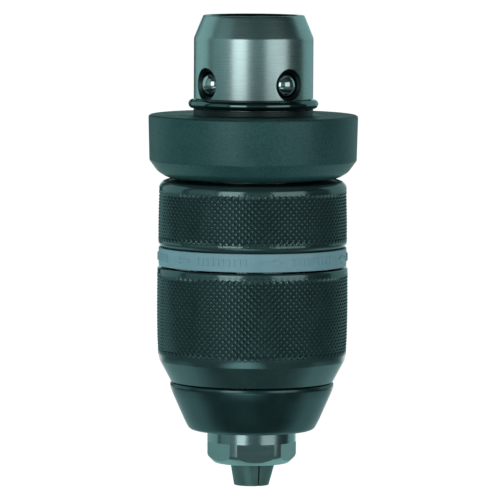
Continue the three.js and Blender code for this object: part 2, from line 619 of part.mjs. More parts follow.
/** Jaw leaning out along +X: flat grip faces inside, teeth for the nut across its back. */
function jaw(azimuth) {
  const bar = jawBar(JAW_R, -JAW_FOOT, JAW_LENGTH);
  const far = REAR_SLEEVE_R + JAW_FOOT; // clear of the whole jaw
  const below = Z_JAW_TIP - far;
  const above = Z_HUB_BOTTOM;
  const tools = [
    block([-far, -far, below], [far, far, Z_JAW_TIP]),
    block([-far, -far, below], [GRIP_R, far, above]),
    block([JAW_REACH_R - JAW_TRAVEL * sin(JAW_ANGLE), -far, below], [far, far, above]),
  ];
  const wedge = 180 / JAW_COUNT;
  for (const side of [-1, 1]) {
    const near = side > 0 ? -GAP / 2 : -far;
    const cheek = block([-far, near, below], [far, near + far + GAP / 2, above]);
    tools.push(cheek.rotateZ(radians(side * wedge)));
  }
  const grooveHalf = (THREAD_PITCH * GROOVE_SHARE) / 2;
  const phase = THREAD_PITCH * ((azimuth - 90) / 360);
  const lowest = Z_NUT_BOTTOM - OPEN_TURNS * THREAD_PITCH - THREAD_PITCH / 2;
  const first = Math.ceil((lowest - Z_NUT_BOTTOM - phase) / THREAD_PITCH);
  for (let k = first; Z_NUT_BOTTOM + phase + k * THREAD_PITCH < Z_NUT_TOP + THREAD_PITCH; k += 1) {
    const z = Z_NUT_BOTTOM + phase + k * THREAD_PITCH;
    const inner = jawBackR(z) - TOOTH_DEPTH - TOOTH_ROOM;
    tools.push(block([inner, -JAW_R, z - grooveHalf], [far, JAW_R, z + grooveHalf]));
  }
  return cut(bar, ...tools);
}

// ---- assembly ----------------------------------------------------------------------------------------

add('chuck_body', chuckBody(), SATIN_STEEL);
add('coupling_collar', couplingCollar(), SATIN_STEEL);
add('wire_ring', wireRing(), DARK_WIRE);
add('spring_seat_bush', springSeatBush(), BLACK_OXIDE);
add('lock_spring', lockSpring(), SPRING_STEEL);
add('lock_ring', lockRing(), BLACK_MOULDED);
add('lock_ring_core', lockRingCore(), SATIN_STEEL);
add('inner_lock_sleeve', innerLockSleeve(), SATIN_STEEL);
add('rear_sleeve', rearSleeve(), BLACK_GLOSS);
add('marking_ring', ring(SKIRT_R + GAP, MARK_RING_R, Z_MARK_BOTTOM, Z_MARK_TOP), GREY_MOULDED);
add('nose_cap', noseCap(), BLACK_GLOSS);
add('front_sleeve', frontSleeve(), BLACK_GLOSS);

[90, -90].forEach((azimuth, i) => {
  const from = SPINDLE_BORE_R + GAP;
  const to = LOCK_BORE_R - 2 * GAP;
  add(`cross_pin_${i + 1}`, pin(CROSS_PIN_R, from, to, Z_CROSS_PIN, azimuth), SPRING_STEEL);
});

[0, 180].forEach((azimuth, i) => {
  const from = INNER_SLEEVE_R - COLLAR_PIN_BITE + GAP;
  const collarPin = pin(COLLAR_PIN_R, from, HUB_R - GAP, Z_COLLAR_PIN, azimuth);
  add(`collar_pin_${i + 1}`, collarPin, SPRING_STEEL);
});

for (let i = 0; i < BALL_COUNT; i += 1) {
  const place = new THREE.Group();
  place.rotation.z = radians(ballAzimuth(i) - 90);
  const sphere = merged(new THREE.SphereGeometry(BALL_R, 14, 8));
  const ball = add(`locking_ball_${i + 1}`, sphere, POLISHED_STEEL, place);
  ball.position.set(BALL_CENTRE_R, 0, BALL_Z);
  model.add(place);
}

add('nut_half_a', nutHalf(1), SATIN_STEEL);
add('nut_half_b', nutHalf(-1), SATIN_STEEL);
const bandTop = Z_NUT_TOP - NUT_FLANGE - GAP;
add('nut_band', ring(NUT_R + GAP, FRONT_INNER_R - GAP, Z_NUT_BOTTOM, bandTop), SATIN_STEEL);

const frontRaceTop = Z_NUT_TOP + GAP + RACE_LENGTH;
const frontRace = ring(BEARING_INNER_R, BEARING_OUTER_R, Z_NUT_TOP + GAP, frontRaceTop);
const rearRace = ring(BEARING_INNER_R, BEARING_OUTER_R, Z_REAR_RACE, Z_REAR_RACE + RACE_LENGTH);
add('front_race', frontRace, POLISHED_STEEL);
add('rear_race', rearRace, POLISHED_STEEL);
add('bearing_cage', bearingCage(), SPRING_STEEL);

for (let i = 0; i < BEARING_BALLS; i += 1) {
  const angle = (2 * PI * i) / BEARING_BALLS;
  const sphere = merged(new THREE.SphereGeometry(BEARING_BALL_R, 8, 5));
  const name = `bearing_ball_${String(i + 1).padStart(2, '0')}`;
  const ball = add(name, sphere, POLISHED_STEEL);
  ball.position.set(BEARING_R * cos(angle), BEARING_R * sin(angle), Z_BEARING);
}

for (let i = 0; i < JAW_COUNT; i += 1) {
  const place = new THREE.Group();
  place.rotation.z = radians(jawAzimuth(i) - 90);
  add(`jaw_${i + 1}`, jaw(jawAzimuth(i)), BLACK_OXIDE, place);
  model.add(place);
}

export default model;
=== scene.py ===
# %% [markdown]
# # A keyless drill chuck, piece by piece
#
# This lesson dresses a working model of a keyless drill chuck. The working model already holds
# every piece at its place and size, and each piece rides on the body that moves it. What is added
# here is what the eye needs: rolled edges, knurls cut as real points, turned steel, moulded grain.
#
# Everything is in metres, with +Z up. The chuck hangs from its coupling, nose down.

# %% Load the frame
import json
from math import atan2, ceil, cos, hypot, pi, radians, sin, sqrt, tan

import bmesh
import bpy
import numpy as np
from mathutils import Euler, Matrix, Vector


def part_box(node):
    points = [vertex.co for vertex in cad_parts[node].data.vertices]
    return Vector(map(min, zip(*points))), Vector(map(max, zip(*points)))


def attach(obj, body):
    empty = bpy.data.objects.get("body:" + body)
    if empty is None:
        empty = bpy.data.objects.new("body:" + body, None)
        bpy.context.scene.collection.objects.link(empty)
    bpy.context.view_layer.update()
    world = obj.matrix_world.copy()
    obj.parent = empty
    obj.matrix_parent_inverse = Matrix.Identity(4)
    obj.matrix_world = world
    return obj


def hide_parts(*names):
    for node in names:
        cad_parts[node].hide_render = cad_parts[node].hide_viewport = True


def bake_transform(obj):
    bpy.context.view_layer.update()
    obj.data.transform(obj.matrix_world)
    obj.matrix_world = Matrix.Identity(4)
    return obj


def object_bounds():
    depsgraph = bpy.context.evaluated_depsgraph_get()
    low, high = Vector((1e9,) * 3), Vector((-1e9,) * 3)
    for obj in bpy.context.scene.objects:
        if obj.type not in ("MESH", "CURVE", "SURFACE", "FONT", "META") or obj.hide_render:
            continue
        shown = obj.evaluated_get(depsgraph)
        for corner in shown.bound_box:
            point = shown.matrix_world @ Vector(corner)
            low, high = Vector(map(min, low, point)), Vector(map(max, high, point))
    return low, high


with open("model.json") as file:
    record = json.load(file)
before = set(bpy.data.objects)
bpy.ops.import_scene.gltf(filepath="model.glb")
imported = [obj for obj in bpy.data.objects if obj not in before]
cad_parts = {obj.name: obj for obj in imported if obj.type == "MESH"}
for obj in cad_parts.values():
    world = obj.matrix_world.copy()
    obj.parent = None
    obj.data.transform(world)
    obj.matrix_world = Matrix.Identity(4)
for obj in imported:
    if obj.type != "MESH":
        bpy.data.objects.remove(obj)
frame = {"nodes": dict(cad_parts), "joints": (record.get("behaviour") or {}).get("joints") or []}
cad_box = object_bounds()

print("nodes in the frame:", len(frame["nodes"]))

# %% [markdown]
# ## The camera first
#
# A product picture is taken from far away with a long lens, so that the round edges of the chuck
# stay almost straight. The camera stands 1.25 m away, level with the coupling's rear face, and
# looks down by four and a half degrees at the middle of the chuck.

# %% Camera
MM = 0.001
top_z = cad_box[1][2]
tip_z = cad_box[0][2]
length = top_z - tip_z

CAMERA_DISTANCE = 1.2473
CAMERA_ABOVE_TOP = 0.0434
CAMERA_SIDE = -0.0006
CAMERA_PITCH = radians(4.516)
CAMERA_ROLL = radians(0.32)
LENS_MM = 383.8

lens = bpy.data.cameras.new("camera")
lens.lens = LENS_MM
lens.sensor_width = 36
lens.clip_start = 0.05
camera = bpy.data.objects.new("camera", lens)
bpy.context.scene.collection.objects.link(camera)
tilt = Euler((pi / 2 - CAMERA_PITCH, 0, 0)).to_matrix().to_4x4()
roll = Matrix.Rotation(CAMERA_ROLL, 4, "Z")
place = Matrix.Translation((CAMERA_SIDE, -CAMERA_DISTANCE, top_z + CAMERA_ABOVE_TOP))
camera.matrix_world = place @ tilt @ roll
bpy.context.scene.camera = camera
print(f"camera {CAMERA_DISTANCE:.2f} m away, chuck {length * 1000:.1f} mm long")

# %% [markdown]
# ## Turning: one profile, one piece
#
# Nearly every outer piece of a chuck comes off a lathe, so one helper makes them all. It takes the
# half section as corners, each a radius, a height and how far the corner is rounded, and spins it
# about Z. A bevel modifier could round the edges too. Rounding the corners in the section itself
# is better here, because each edge gets the radius that its piece really has.

# %% A section with rounded corners
def rounded(corners, steps=5):
    """Closed half section in millimetres; corners are (radius, height, rounding)."""
    outline = []
    count = len(corners)
    for i, corner in enumerate(corners):
        here = Vector(corner[:2])
        rounding = corner[2] if len(corner) > 2 else 0.0
        before = Vector(corners[i - 1][:2]) - here
        after = Vector(corners[(i + 1) % count][:2]) - here
        if rounding <= 0:
            outline.append(here)
            continue
        reach = min(rounding, 0.48 * before.length, 0.48 * after.length)
        start = here + before.normalized() * reach
        end = here + after.normalized() * reach
        for k in range(steps + 1):
            t = k / steps
            outline.append((1 - t) ** 2 * start + 2 * t * (1 - t) * here + t ** 2 * end)
    return [(p.x, p.y) for p in outline]


def grid_mesh(name, points, rows, columns, closed_rows=True):
    """Mesh through a grid of points that closes round the columns, and round the rows too."""
    mesh = bpy.data.meshes.new(name)
    row_count = rows if closed_rows else rows - 1
    i, j = np.meshgrid(np.arange(row_count), np.arange(columns), indexing="ij")
    ni, nj = (i + 1) % rows, (j + 1) % columns
    quads = np.stack([i * columns + j, i * columns + nj, ni * columns + nj, ni * columns + j], -1)
    mesh.from_pydata(points.reshape(-1, 3).tolist(), [], quads.reshape(-1, 4).tolist())
    return mesh


def finish_piece(name, mesh, sharp=32):
    """Puts the mesh in the scene, smooth except where faces meet at more than the stated angle."""
    mesh.validate()
    for polygon in mesh.polygons:
        polygon.use_smooth = True
    mesh.set_sharp_from_angle(angle=radians(sharp))
    piece = bpy.data.objects.new(name, mesh)
    bpy.context.scene.collection.objects.link(piece)
    return piece


def turned(name, corners, columns=160, steps=5, sharp=32):
    """A piece off the lathe, from its half section in millimetres."""
    section = np.array(rounded(corners, steps)) * MM
    angle = 2 * pi * np.arange(columns) / columns
    r, z = section[:, :1], section[:, 1:]
    flat = np.broadcast_to(z, (len(section), columns))
    points = np.stack([r * np.sin(angle), -r * np.cos(angle), flat], -1)
    return finish_piece(name, grid_mesh(name, points, len(section), columns), sharp)


def merge_axis(piece):
    """Joins the corners that lie on the axis, so that a solid bar closes there."""
    work = bmesh.new()
    work.from_mesh(piece.data)
    bmesh.ops.remove_doubles(work, verts=work.verts, dist=1e-7)
    bmesh.ops.dissolve_degenerate(work, edges=work.edges, dist=1e-8)
    work.to_mesh(piece.data)
    work.free()
    return piece


print("turning helpers ready")

# %% [markdown]
# ## Cutting
#
# Holes, slots and flats are cut with Boolean modifiers. The result is copied out as a plain mesh
# straight away, so nothing is left to work out later and the tools can be thrown away.

# %% Cutting one piece with others
def cut(piece, tools, keep_common=False, sharp=32):
    """Takes the tools out of the piece, or keeps what they share with it."""
    for tool in tools:
        step = piece.modifiers.new("cut", "BOOLEAN")
        step.operation = "INTERSECT" if keep_common else "DIFFERENCE"
        step.solver = "EXACT"
        step.object = tool
    bpy.context.view_layer.update()
    graph = bpy.context.evaluated_depsgraph_get()
    result = bpy.data.meshes.new_from_object(piece.evaluated_get(graph))
    old = piece.data
    piece.modifiers.clear()
    piece.data = result
    piece.data.name = piece.name
    bpy.data.meshes.remove(old)
    for tool in tools:
        spent = tool.data
        bpy.data.objects.remove(tool)
        bpy.data.meshes.remove(spent)
    for polygon in result.polygons:
        polygon.use_smooth = True
    result.set_sharp_from_angle(angle=radians(sharp))
    return piece


def bar(name, stations, columns=48):
    """Stepped round bar along Z; stations are (radius, height) in millimetres."""
    first, last = stations[0][1], stations[-1][1]
    corners = [(0, first), *stations, (0, last)]
    return merge_axis(turned(name, corners, columns))


def block(name, low, high):
    """Cutting block between two corners in millimetres."""
    work = bmesh.new()
    bmesh.ops.create_cube(work, size=1)
    size = Vector(high) - Vector(low)
    middle = (Vector(high) + Vector(low)) / 2
    bmesh.ops.transform(work, verts=work.verts, matrix=Matrix.Diagonal((*(size * MM), 1)))
    bmesh.ops.translate(work, verts=work.verts, vec=middle * MM)
    mesh = bpy.data.meshes.new(name)
    work.to_mesh(mesh)
    work.free()
    tool = bpy.data.objects.new(name, mesh)
    bpy.context.scene.collection.objects.link(tool)
    return tool


def moved(piece, matrix):
    """Moves the corners themselves, so that the object stays at the origin."""
    piece.data.transform(matrix)
    return piece


def along_radius(azimuth, height):
    """Turns a bar that lies along Z to lie outwards along a radius, at a height in millimetres."""
    spin = Matrix.Rotation(radians(azimuth - 90), 4, "Z")
    lay = Matrix.Rotation(pi / 2, 4, "Y")
    return Matrix.Translation((0, 0, height * MM)) @ spin @ lay


print("cutting helpers ready")

# %% [markdown]
# ## Finishes
#
# Each finish is a small function that builds a Principled shader and drives its roughness, colour
# and bump from procedural textures in object space. Object space is used because its unit is the
# metre, so a grain of a quarter of a millimetre stays that size on every piece.

# %% A finish to start from
def new_finish(name, color, metallic, roughness):
    """Principled material; returns the material, its node tree and its shader."""
    material = bpy.data.materials.new(name)
    material.use_nodes = True
    tree = material.node_tree
    shader = tree.nodes["Principled BSDF"]
    shader.inputs["Base Color"].default_value = (*color, 1)
    shader.inputs["Metallic"].default_value = metallic
    shader.inputs["Roughness"].default_value = roughness
    return material, tree, shader


def noise(tree, scale, stretch=(1, 1, 1), detail=3.0, roughness=0.55, shift=0.0):
    """Noise in object space, at a scale per metre, stretched along the axes."""
    where = tree.nodes.new("ShaderNodeTexCoord")
    mapping = tree.nodes.new("ShaderNodeMapping")
    mapping.inputs["Scale"].default_value = stretch
    mapping.inputs["Location"].default_value = (shift, shift, shift)
    texture = tree.nodes.new("ShaderNodeTexNoise")
    texture.inputs["Scale"].default_value = scale
    texture.inputs["Detail"].default_value = detail
    texture.inputs["Roughness"].default_value = roughness
    tree.links.new(where.outputs["Object"], mapping.inputs["Vector"])
    tree.links.new(mapping.outputs["Vector"], texture.inputs["Vector"])
    return texture.outputs["Fac"]


def spread(tree, value, low, high, start=0.3, stop=0.7):
    """Maps a texture's middle range to the range from low to high."""
    ramp = tree.nodes.new("ShaderNodeMapRange")
    ramp.inputs["From Min"].default_value = start
    ramp.inputs["From Max"].default_value = stop
    ramp.inputs["To Min"].default_value = low
    ramp.inputs["To Max"].default_value = high
    tree.links.new(value, ramp.inputs["Value"])
    return ramp.outputs["Result"]


def tint(tree, value, dark, light, start=0.3, stop=0.7):
    """Colour that runs from dark to light with a texture."""
    ramp = tree.nodes.new("ShaderNodeValToRGB")
    ramp.color_ramp.elements[0].position = start
    ramp.color_ramp.elements[0].color = (*dark, 1)
    ramp.color_ramp.elements[1].position = stop
    ramp.color_ramp.elements[1].color = (*light, 1)
    tree.links.new(value, ramp.inputs["Fac"])
    return ramp.outputs["Color"]


def bump(tree, shader, heights):
    """Stacks bumps; heights are (texture value, depth in metres, strength)."""
    normal = None
    for value, depth, strength in heights:
        node = tree.nodes.new("ShaderNodeBump")
        node.inputs["Distance"].default_value = depth
        node.inputs["Strength"].default_value = strength
        tree.links.new(value, node.inputs["Height"])
        if normal is not None:
            tree.links.new(normal, node.inputs["Normal"])
        normal = node.outputs["Normal"]
    tree.links.new(normal, shader.inputs["Normal"])


print("finish helpers ready")

# %% [markdown]
# ### Turned steel
#
# A lathe tool leaves fine rings. They are noise squeezed along Z, about fifteen to the millimetre,
# as a shallow bump and a change of roughness. Broad soft noise on top gives the handled look of
# steel that has been oiled and wiped.

# %% Turned steel, polished steel, spring steel
def turned_steel(name, color=(0.50, 0.60, 0.60), rough=(0.24, 0.36), ring_depth=0.0000012):
    material, tree, shader = new_finish(name, color, 1.0, 0.3)
    rings = noise(tree, 60, (1, 1, 220), detail=2)
    smear = noise(tree, 90, (1, 1, 0.6), detail=4, shift=3)
    specks = noise(tree, 2600, detail=1, shift=7)
    dark = tuple(c * 0.86 for c in color)
    tree.links.new(tint(tree, smear, dark, color), shader.inputs["Base Color"])
    tree.links.new(spread(tree, rings, *rough), shader.inputs["Roughness"])
    bump(tree, shader, [(rings, ring_depth * 4, 0.5), (specks, ring_depth * 3, 0.35)])
    return material


def polished_steel(name, color=(0.58, 0.64, 0.65)):
    material, tree, shader = new_finish(name, color, 1.0, 0.06)
    wear = noise(tree, 700, detail=4)
    tree.links.new(spread(tree, wear, 0.04, 0.12), shader.inputs["Roughness"])
    worn = tuple(c * 0.92 for c in color)
    tree.links.new(tint(tree, wear, worn, color), shader.inputs["Base Color"])
    return material


COLLAR_STEEL = turned_steel("collar_steel", rough=(0.25, 0.33), ring_depth=0.0000004)
NOSE_STEEL = turned_steel("nose_steel", (0.40, 0.52, 0.52), (0.16, 0.26), 0.0000008)
INNER_STEEL = turned_steel("inner_steel", (0.45, 0.47, 0.49), (0.28, 0.42))
# Near-black steel, laid on as painted shade in the collar's bore and ball holes.
PAINTED_SHADE_STEEL = turned_steel("painted_shade_steel", (0.035, 0.055, 0.055), (0.30, 0.45))
BALL_STEEL = polished_steel("ball_steel")
SPRING_STEEL = turned_steel("spring_steel", (0.20, 0.21, 0.23), (0.25, 0.4))
STEELS = (COLLAR_STEEL, NOSE_STEEL, INNER_STEEL, PAINTED_SHADE_STEEL, BALL_STEEL, SPRING_STEEL)
print("steels:", [m.name for m in STEELS])

# %% [markdown]
# ### Blacks
#
# Most of the pieces are black, and no two blacks are alike. The lock ring and the bush in it have
# a fine moulded grain. The knurled sleeves are blacked steel with a gloss, and catch a point of
# light on each tooth. The nose cap is smoother and duller. The jaws are blacked over their cutter
# marks, and the wire ring is oiled black wire. One more black, almost without a shine, is painted
# shade: it darkens skirts, bores and the bush's hub, which sit in their own shade.
#
# A blacked metal could be a plain dark metal. It is given a high index of refraction and a little
# less than full metallic instead, so that it keeps a cool body colour under the highlights.

# %% Black finishes
def moulded_black(name, color, rough, grain_per_m, grain_depth, specular=0.5):
    """Plastic with a moulded grain."""
    material, tree, shader = new_finish(name, color, 0.0, 0.5)
    shader.inputs["Specular IOR Level"].default_value = specular
    shader.inputs["Specular Tint"].default_value = (0.62, 1.0, 1.0, 1)
    grain = noise(tree, grain_per_m, detail=2, roughness=0.6)
    cloud = noise(tree, 110, detail=3, shift=5)
    light = tuple(c * 1.35 for c in color)
    cloudy = tint(tree, cloud, color, light)
    speckle = tint(tree, grain, (0.62, 0.62, 0.62), (1.3, 1.3, 1.3))
    mix = tree.nodes.new("ShaderNodeVectorMath")
    mix.operation = "MULTIPLY"
    tree.links.new(cloudy, mix.inputs[0])
    tree.links.new(speckle, mix.inputs[1])
    tree.links.new(mix.outputs["Vector"], shader.inputs["Base Color"])
    tree.links.new(spread(tree, cloud, *rough), shader.inputs["Roughness"])
    bump(tree, shader, [(grain, grain_depth, 0.6)])
    return material


def blacked_steel(name, color, rough, rings_deep=0.000003, metallic=0.75):
    """Steel that has been blacked and oiled, over fine turning rings."""
    material, tree, shader = new_finish(name, color, metallic, 0.4)
    shader.inputs["IOR"].default_value = 2.1
    rings = noise(tree, 400, (1, 1, 12), detail=3)
    cloud = noise(tree, 240, detail=4, shift=9)
    light = tuple(c * 1.25 for c in color)
    tree.links.new(tint(tree, cloud, color, light), shader.inputs["Base Color"])
    tree.links.new(spread(tree, cloud, *rough), shader.inputs["Roughness"])
    bump(tree, shader, [(rings, rings_deep, 0.5)])
    return material


LOCK_RING_BLACK = moulded_black(
    "lock_ring_black", (0.034, 0.092, 0.092), rough=(0.38, 0.48),
    grain_per_m=2600, grain_depth=0.000060, specular=0.8,
)
SLEEVE_BLACK = blacked_steel("sleeve_black", (0.066, 0.119, 0.121), (0.13, 0.19), 0.000001, 0.6)
# Near-black with no shine, laid on as painted shade in skirts, bores and the bush's hub.
PAINTED_SHADE_BLACK = blacked_steel("painted_shade_black", (0.012, 0.020, 0.020), (0.40, 0.50))
CAP_BLACK = blacked_steel("cap_black", (0.052, 0.096, 0.100), (0.21, 0.28), 0.000002, 0.85)
JAW_BLACK = blacked_steel("jaw_black", (0.150, 0.245, 0.235), (0.44, 0.58))
WIRE_BLACK = blacked_steel("wire_black", (0.120, 0.170, 0.172), (0.08, 0.14), 0.000001, 1.0)
BLACKS = (LOCK_RING_BLACK, SLEEVE_BLACK, PAINTED_SHADE_BLACK, CAP_BLACK, JAW_BLACK, WIRE_BLACK)
print("blacks:", [m.name for m in BLACKS])

# %% [markdown]
# ### The marking ring's grey
#
# The ring between the sleeves is moulded in a blue-grey plastic with a satin skin, and the marks
# on it are of the same plastic. It is lighter than everything round it, so even a slight
# unevenness shows. A cloudy colour and a soft grain are enough.

# %% Marking ring finish
def satin_grey(name, color, light, rough):
    material, tree, shader = new_finish(name, color, 0.0, 0.45)
    cloud = noise(tree, 160, (1, 1, 1.5), detail=4)
    grain = noise(tree, 2400, detail=2, shift=4)
    tree.links.new(tint(tree, cloud, color, light), shader.inputs["Base Color"])
    tree.links.new(spread(tree, cloud, *rough), shader.inputs["Roughness"])
    bump(tree, shader, [(grain, 0.000014, 0.5)])
    return material


RING_GREY = satin_grey("ring_grey", (0.42, 0.62, 0.72), (0.48, 0.70, 0.80), (0.36, 0.46))
print("grey:", RING_GREY.name)

# %% [markdown]
# ## Putting a piece in service
#
# Each fine piece takes the place of a plain one of the working model. It gets its finish, rides on
# the body that moves it, and hides the nodes that it stands for. Where the inside of a piece needs
# a second finish, its faces are picked by radius and height, which suits round pieces better than
# picking them by hand.

# %% Riding, replacing and painting in one call
def fit(piece, body, finish, slot, *nodes):
    """Gives a piece its finish and its body, and lets it stand for CAD nodes."""
    piece.data.materials.clear()
    piece.data.materials.append(finish)
    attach(piece, body)
    if nodes:
        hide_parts(*nodes)
    return piece


def shade_faces(piece, finish, test):
    """Painted shade: a dark second finish on faces whose radius and height in mm pass the test."""
    piece.data.materials.append(finish)
    for polygon in piece.data.polygons:
        if test(polygon.center.xy.length / MM, polygon.center.z / MM):
            polygon.material_index = 1
    return piece


def heights(node):
    """Lowest and highest point of a CAD node, and its largest radius, in millimetres."""
    low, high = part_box(node)
    return low.z / MM, high.z / MM, max(high.x, -low.x, high.y, -low.y) / MM


print("lock ring from, to, radius:", [round(v, 2) for v in heights("lock_ring")])

# %% [markdown]
# ## The coupling collar
#
# The collar goes into the machine. Its rear end is coned to find its way in, and four balls look
# out of holes near the wire ring. Each hole is a stepped drilling: a wide mouth, a narrow lip that
# keeps the ball in, and a guide. The steps are one turned bar, laid along a radius and cut out.

# %% Coupling collar
collar_low, collar_high, collar_r = heights("coupling_collar")
wire_low, wire_high, wire_r = heights("wire_ring")
ball_nodes = sorted(n for n in frame["nodes"] if n.startswith("locking_ball"))
ball_boxes = [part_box(n) for n in ball_nodes]
ball_centres = [(low + high) / 2 for low, high in ball_boxes]
ball_r = (ball_boxes[0][1].z - ball_boxes[0][0].z) / 2 / MM
ball_z = ball_centres[0].z / MM
ball_reach = ball_centres[0].xy.length / MM

COLLAR_BORE = collar_r - 3.95
NECK = collar_r - 0.7
CONE_LENGTH = 5.25
collar = turned("coupling_collar_fine", [
    (NECK, collar_low, 0.3),
    (NECK, wire_low - 0.12),
    (NECK - 0.5, wire_low - 0.12),
    (NECK - 0.5, wire_high + 0.1),
    (collar_r, wire_high + 0.1, 0.25),
    (collar_r, -CONE_LENGTH, 0.35),
    (COLLAR_BORE + 1.98, -0.45, 0.4),
    (COLLAR_BORE + 1.75, 0, 0.2),
    (COLLAR_BORE + 0.35, 0, 0.1),
    (COLLAR_BORE, -0.4, 0.1),
    (COLLAR_BORE, collar_low, 0.2),
], columns=192)

azimuths = [atan2(c.x, -c.y) * 180 / pi for c in ball_centres]
HOLE_MOUTH = ball_r + 0.56
lip_r = ball_r - 0.125
lip_at = ball_reach + sqrt(ball_r ** 2 - (lip_r - 0.2) ** 2)
tools = []
for azimuth in azimuths:
    drill = bar("ball_drill", [
        (ball_r + 0.2, COLLAR_BORE - 1),
        (ball_r + 0.2, lip_at),
        (lip_r, lip_at),
        (lip_r, lip_at + 0.35),
        (HOLE_MOUTH, lip_at + 0.9),
        (HOLE_MOUTH, collar_r - 0.35),
        (HOLE_MOUTH + 0.3, collar_r + 0.1),
        (HOLE_MOUTH + 0.3, collar_r + 2),
    ])
    tools.append(moved(drill, along_radius(azimuth, ball_z)))

collar_pin_low, collar_pin_high, _ = heights("collar_pin_1")
collar_pin_z = (collar_pin_low + collar_pin_high) / 2
pin_low, pin_high, _ = heights("cross_pin_1")
pin_r = (pin_high - pin_low) / 2
PIN_HOLE_R = 1.45
PULL = 4.5
for side in (-1, 1):
    near, far = sorted((side * (COLLAR_BORE - 1), side * (NECK + 1)))
    low = (near, -pin_r - 0.3, pin_low - 0.3)
    tools.append(block("pin_slot", low, (far, pin_r + 0.3, pin_high + PULL + 0.3)))
    hole = bar("pin_hole", [(PIN_HOLE_R, COLLAR_BORE - 1), (PIN_HOLE_R, NECK + 1)], 24)
    tools.append(moved(hole, along_radius(90 * (1 - side), collar_pin_z)))
cut(collar, tools)
fit(collar, "chuck", COLLAR_STEEL, "turned_steel", "coupling_collar")


def deep_in_collar(radius, z):
    """In the bore, or in a ball hole below its chamfer: where the painted shade goes."""
    in_hole = radius < collar_r - 0.3 and wire_high < z < -CONE_LENGTH
    return in_hole or radius < COLLAR_BORE + 0.2


# The bore and the ball holes get the near-black steel as painted shade.
shade_faces(collar, PAINTED_SHADE_STEEL, deep_in_collar)
print("collar faces:", len(collar.data.polygons), "ball azimuths:", [round(a, 1) for a in azimuths])

# %% [markdown]
# ## Locking balls
#
# A bearing ball is as near to a perfect mirror sphere as a cheap object gets. The working model's
# balls are coarse, so a fine sphere stands for each one, made from a subdivided cube: it has no
# poles, so the highlights stay clean.

# %% Locking balls
def sphere(name, centre, radius, cuts=5):
    """Round ball from a cube, with no poles."""
    work = bmesh.new()
    bmesh.ops.create_cube(work, size=2)
    bmesh.ops.subdivide_edges(work, edges=work.edges, cuts=2 ** cuts // 2 - 1, use_grid_fill=True)
    for vertex in work.verts:
        vertex.co = vertex.co.normalized() * radius + centre
    mesh = bpy.data.meshes.new(name)
    work.to_mesh(mesh)
    work.free()
    return finish_piece(name, mesh, sharp=60)


for i, (node, centre) in enumerate(zip(ball_nodes, ball_centres)):
    ball = sphere(node + "_fine", centre, ball_r * MM)
    fit(ball, f"ball_{i + 1}", BALL_STEEL, "polished_steel", node)
print("balls:", len(ball_nodes), "of radius", round(ball_r, 3), "mm")

# %% [markdown]
# ## Swept wire
#
# The wire ring and the spring are round wire bent along a path. A curve object with a bevel could
# do it, but its ends would be flat. Here each ring of points is placed one by one along the path,
# and the ends are domed as a cropped and deburred wire is.

# %% Sweeping a wire
def swept_wire(name, path, radius, sides=20, dome=4):
    """Wire along a list of points in metres, with domed ends."""
    path = [Vector(p) for p in path]
    rings = []
    count = len(path)
    for i, point in enumerate(path):
        ahead = path[min(i + 1, count - 1)] - path[max(i - 1, 0)]
        along = ahead.normalized()
        out = Vector((point.x, point.y, 0)).normalized()
        up = along.cross(out).normalized()
        out = up.cross(along)
        rings.append((point, along, out, up, radius))
    first, last = rings[0], rings[-1]
    start, end = [], []
    for k in range(1, dome + 1):
        angle = 0.5 * pi * k / (dome + 0.35)
        shrink, push = cos(angle) * radius, sin(angle) * radius * 0.7
        start.insert(0, (first[0] - first[1] * push, first[1], first[2], first[3], shrink))
        end.append((last[0] + last[1] * push, last[1], last[2], last[3], shrink))
    rings = start + rings + end
    angle = 2 * pi * np.arange(sides) / sides
    points = np.array([
        [p + out * (cos(a) * r) + up * (sin(a) * r) for a in angle] for p, _, out, up, r in rings
    ])
    mesh = grid_mesh(name, points, len(rings), sides, closed_rows=False)
    work = bmesh.new()
    work.from_mesh(mesh)
    bmesh.ops.holes_fill(work, edges=[e for e in work.edges if e.is_boundary], sides=sides)
    bmesh.ops.recalc_face_normals(work, faces=work.faces)
    work.to_mesh(mesh)
    work.free()
    return finish_piece(name, mesh, sharp=60)


def circle_point(radius, azimuth, z):
    """Point at an azimuth from -Y towards +X; all in millimetres and degrees."""
    a = radians(azimuth)
    return (radius * sin(a) * MM, -radius * cos(a) * MM, z * MM)


SPLIT_AZIMUTH, SPLIT_WIDTH = -78, 9
wire_z = (wire_low + wire_high) / 2
wire_thick = (wire_high - wire_low) / 2
WIRE_CENTRE = collar_r + 0.17
WIRE_STEPS = 140
from_deg = SPLIT_AZIMUTH + SPLIT_WIDTH / 2
sweep = 360 - SPLIT_WIDTH
wire_path = [
    circle_point(WIRE_CENTRE, from_deg + sweep * k / WIRE_STEPS, wire_z)
    for k in range(WIRE_STEPS + 1)
]
wire_ring = swept_wire("wire_ring_fine", wire_path, wire_thick * MM * 1.03)
fit(wire_ring, "chuck", WIRE_BLACK, "dark_wire", "wire_ring")
print("wire ring:", round(2 * wire_thick, 2), "mm wire")

# %% [markdown]
# ## Spring-seat bush and lock spring
#
# In front of the wire ring sits a bush with a flange, and the lock spring pushes on it. The bush
# closes the lock ring's mouth, level with its rear face, and its slim hub fills the gap up to the
# wire ring.
#
# The spring sits deep inside, but it shows when the lock ring is off, so it gets real turns with
# flattened ends. It rides on neither the bush nor the lock ring, and stays where it is when the
# ring is pulled.

# %% Bush and spring
bush_low, bush_high, bush_r = heights("spring_seat_bush")
lock_low, lock_high, lock_r = heights("lock_ring")
LOCK_BORE = bush_r + 0.6
flange_r, flange_top = LOCK_BORE - 0.12, lock_high
HUB_R = WIRE_CENTRE - 0.15
bush = turned("spring_seat_bush_fine", [
    (NECK + 0.3, bush_low),
    (flange_r, bush_low, 0.2),
    (flange_r, flange_top, 0.1),
    (HUB_R, flange_top, 0.3),
    (HUB_R, bush_high, 0.15),
    (NECK + 0.3, bush_high),
])
fit(bush, "chuck", LOCK_RING_BLACK, "black_oxide", "spring_seat_bush")


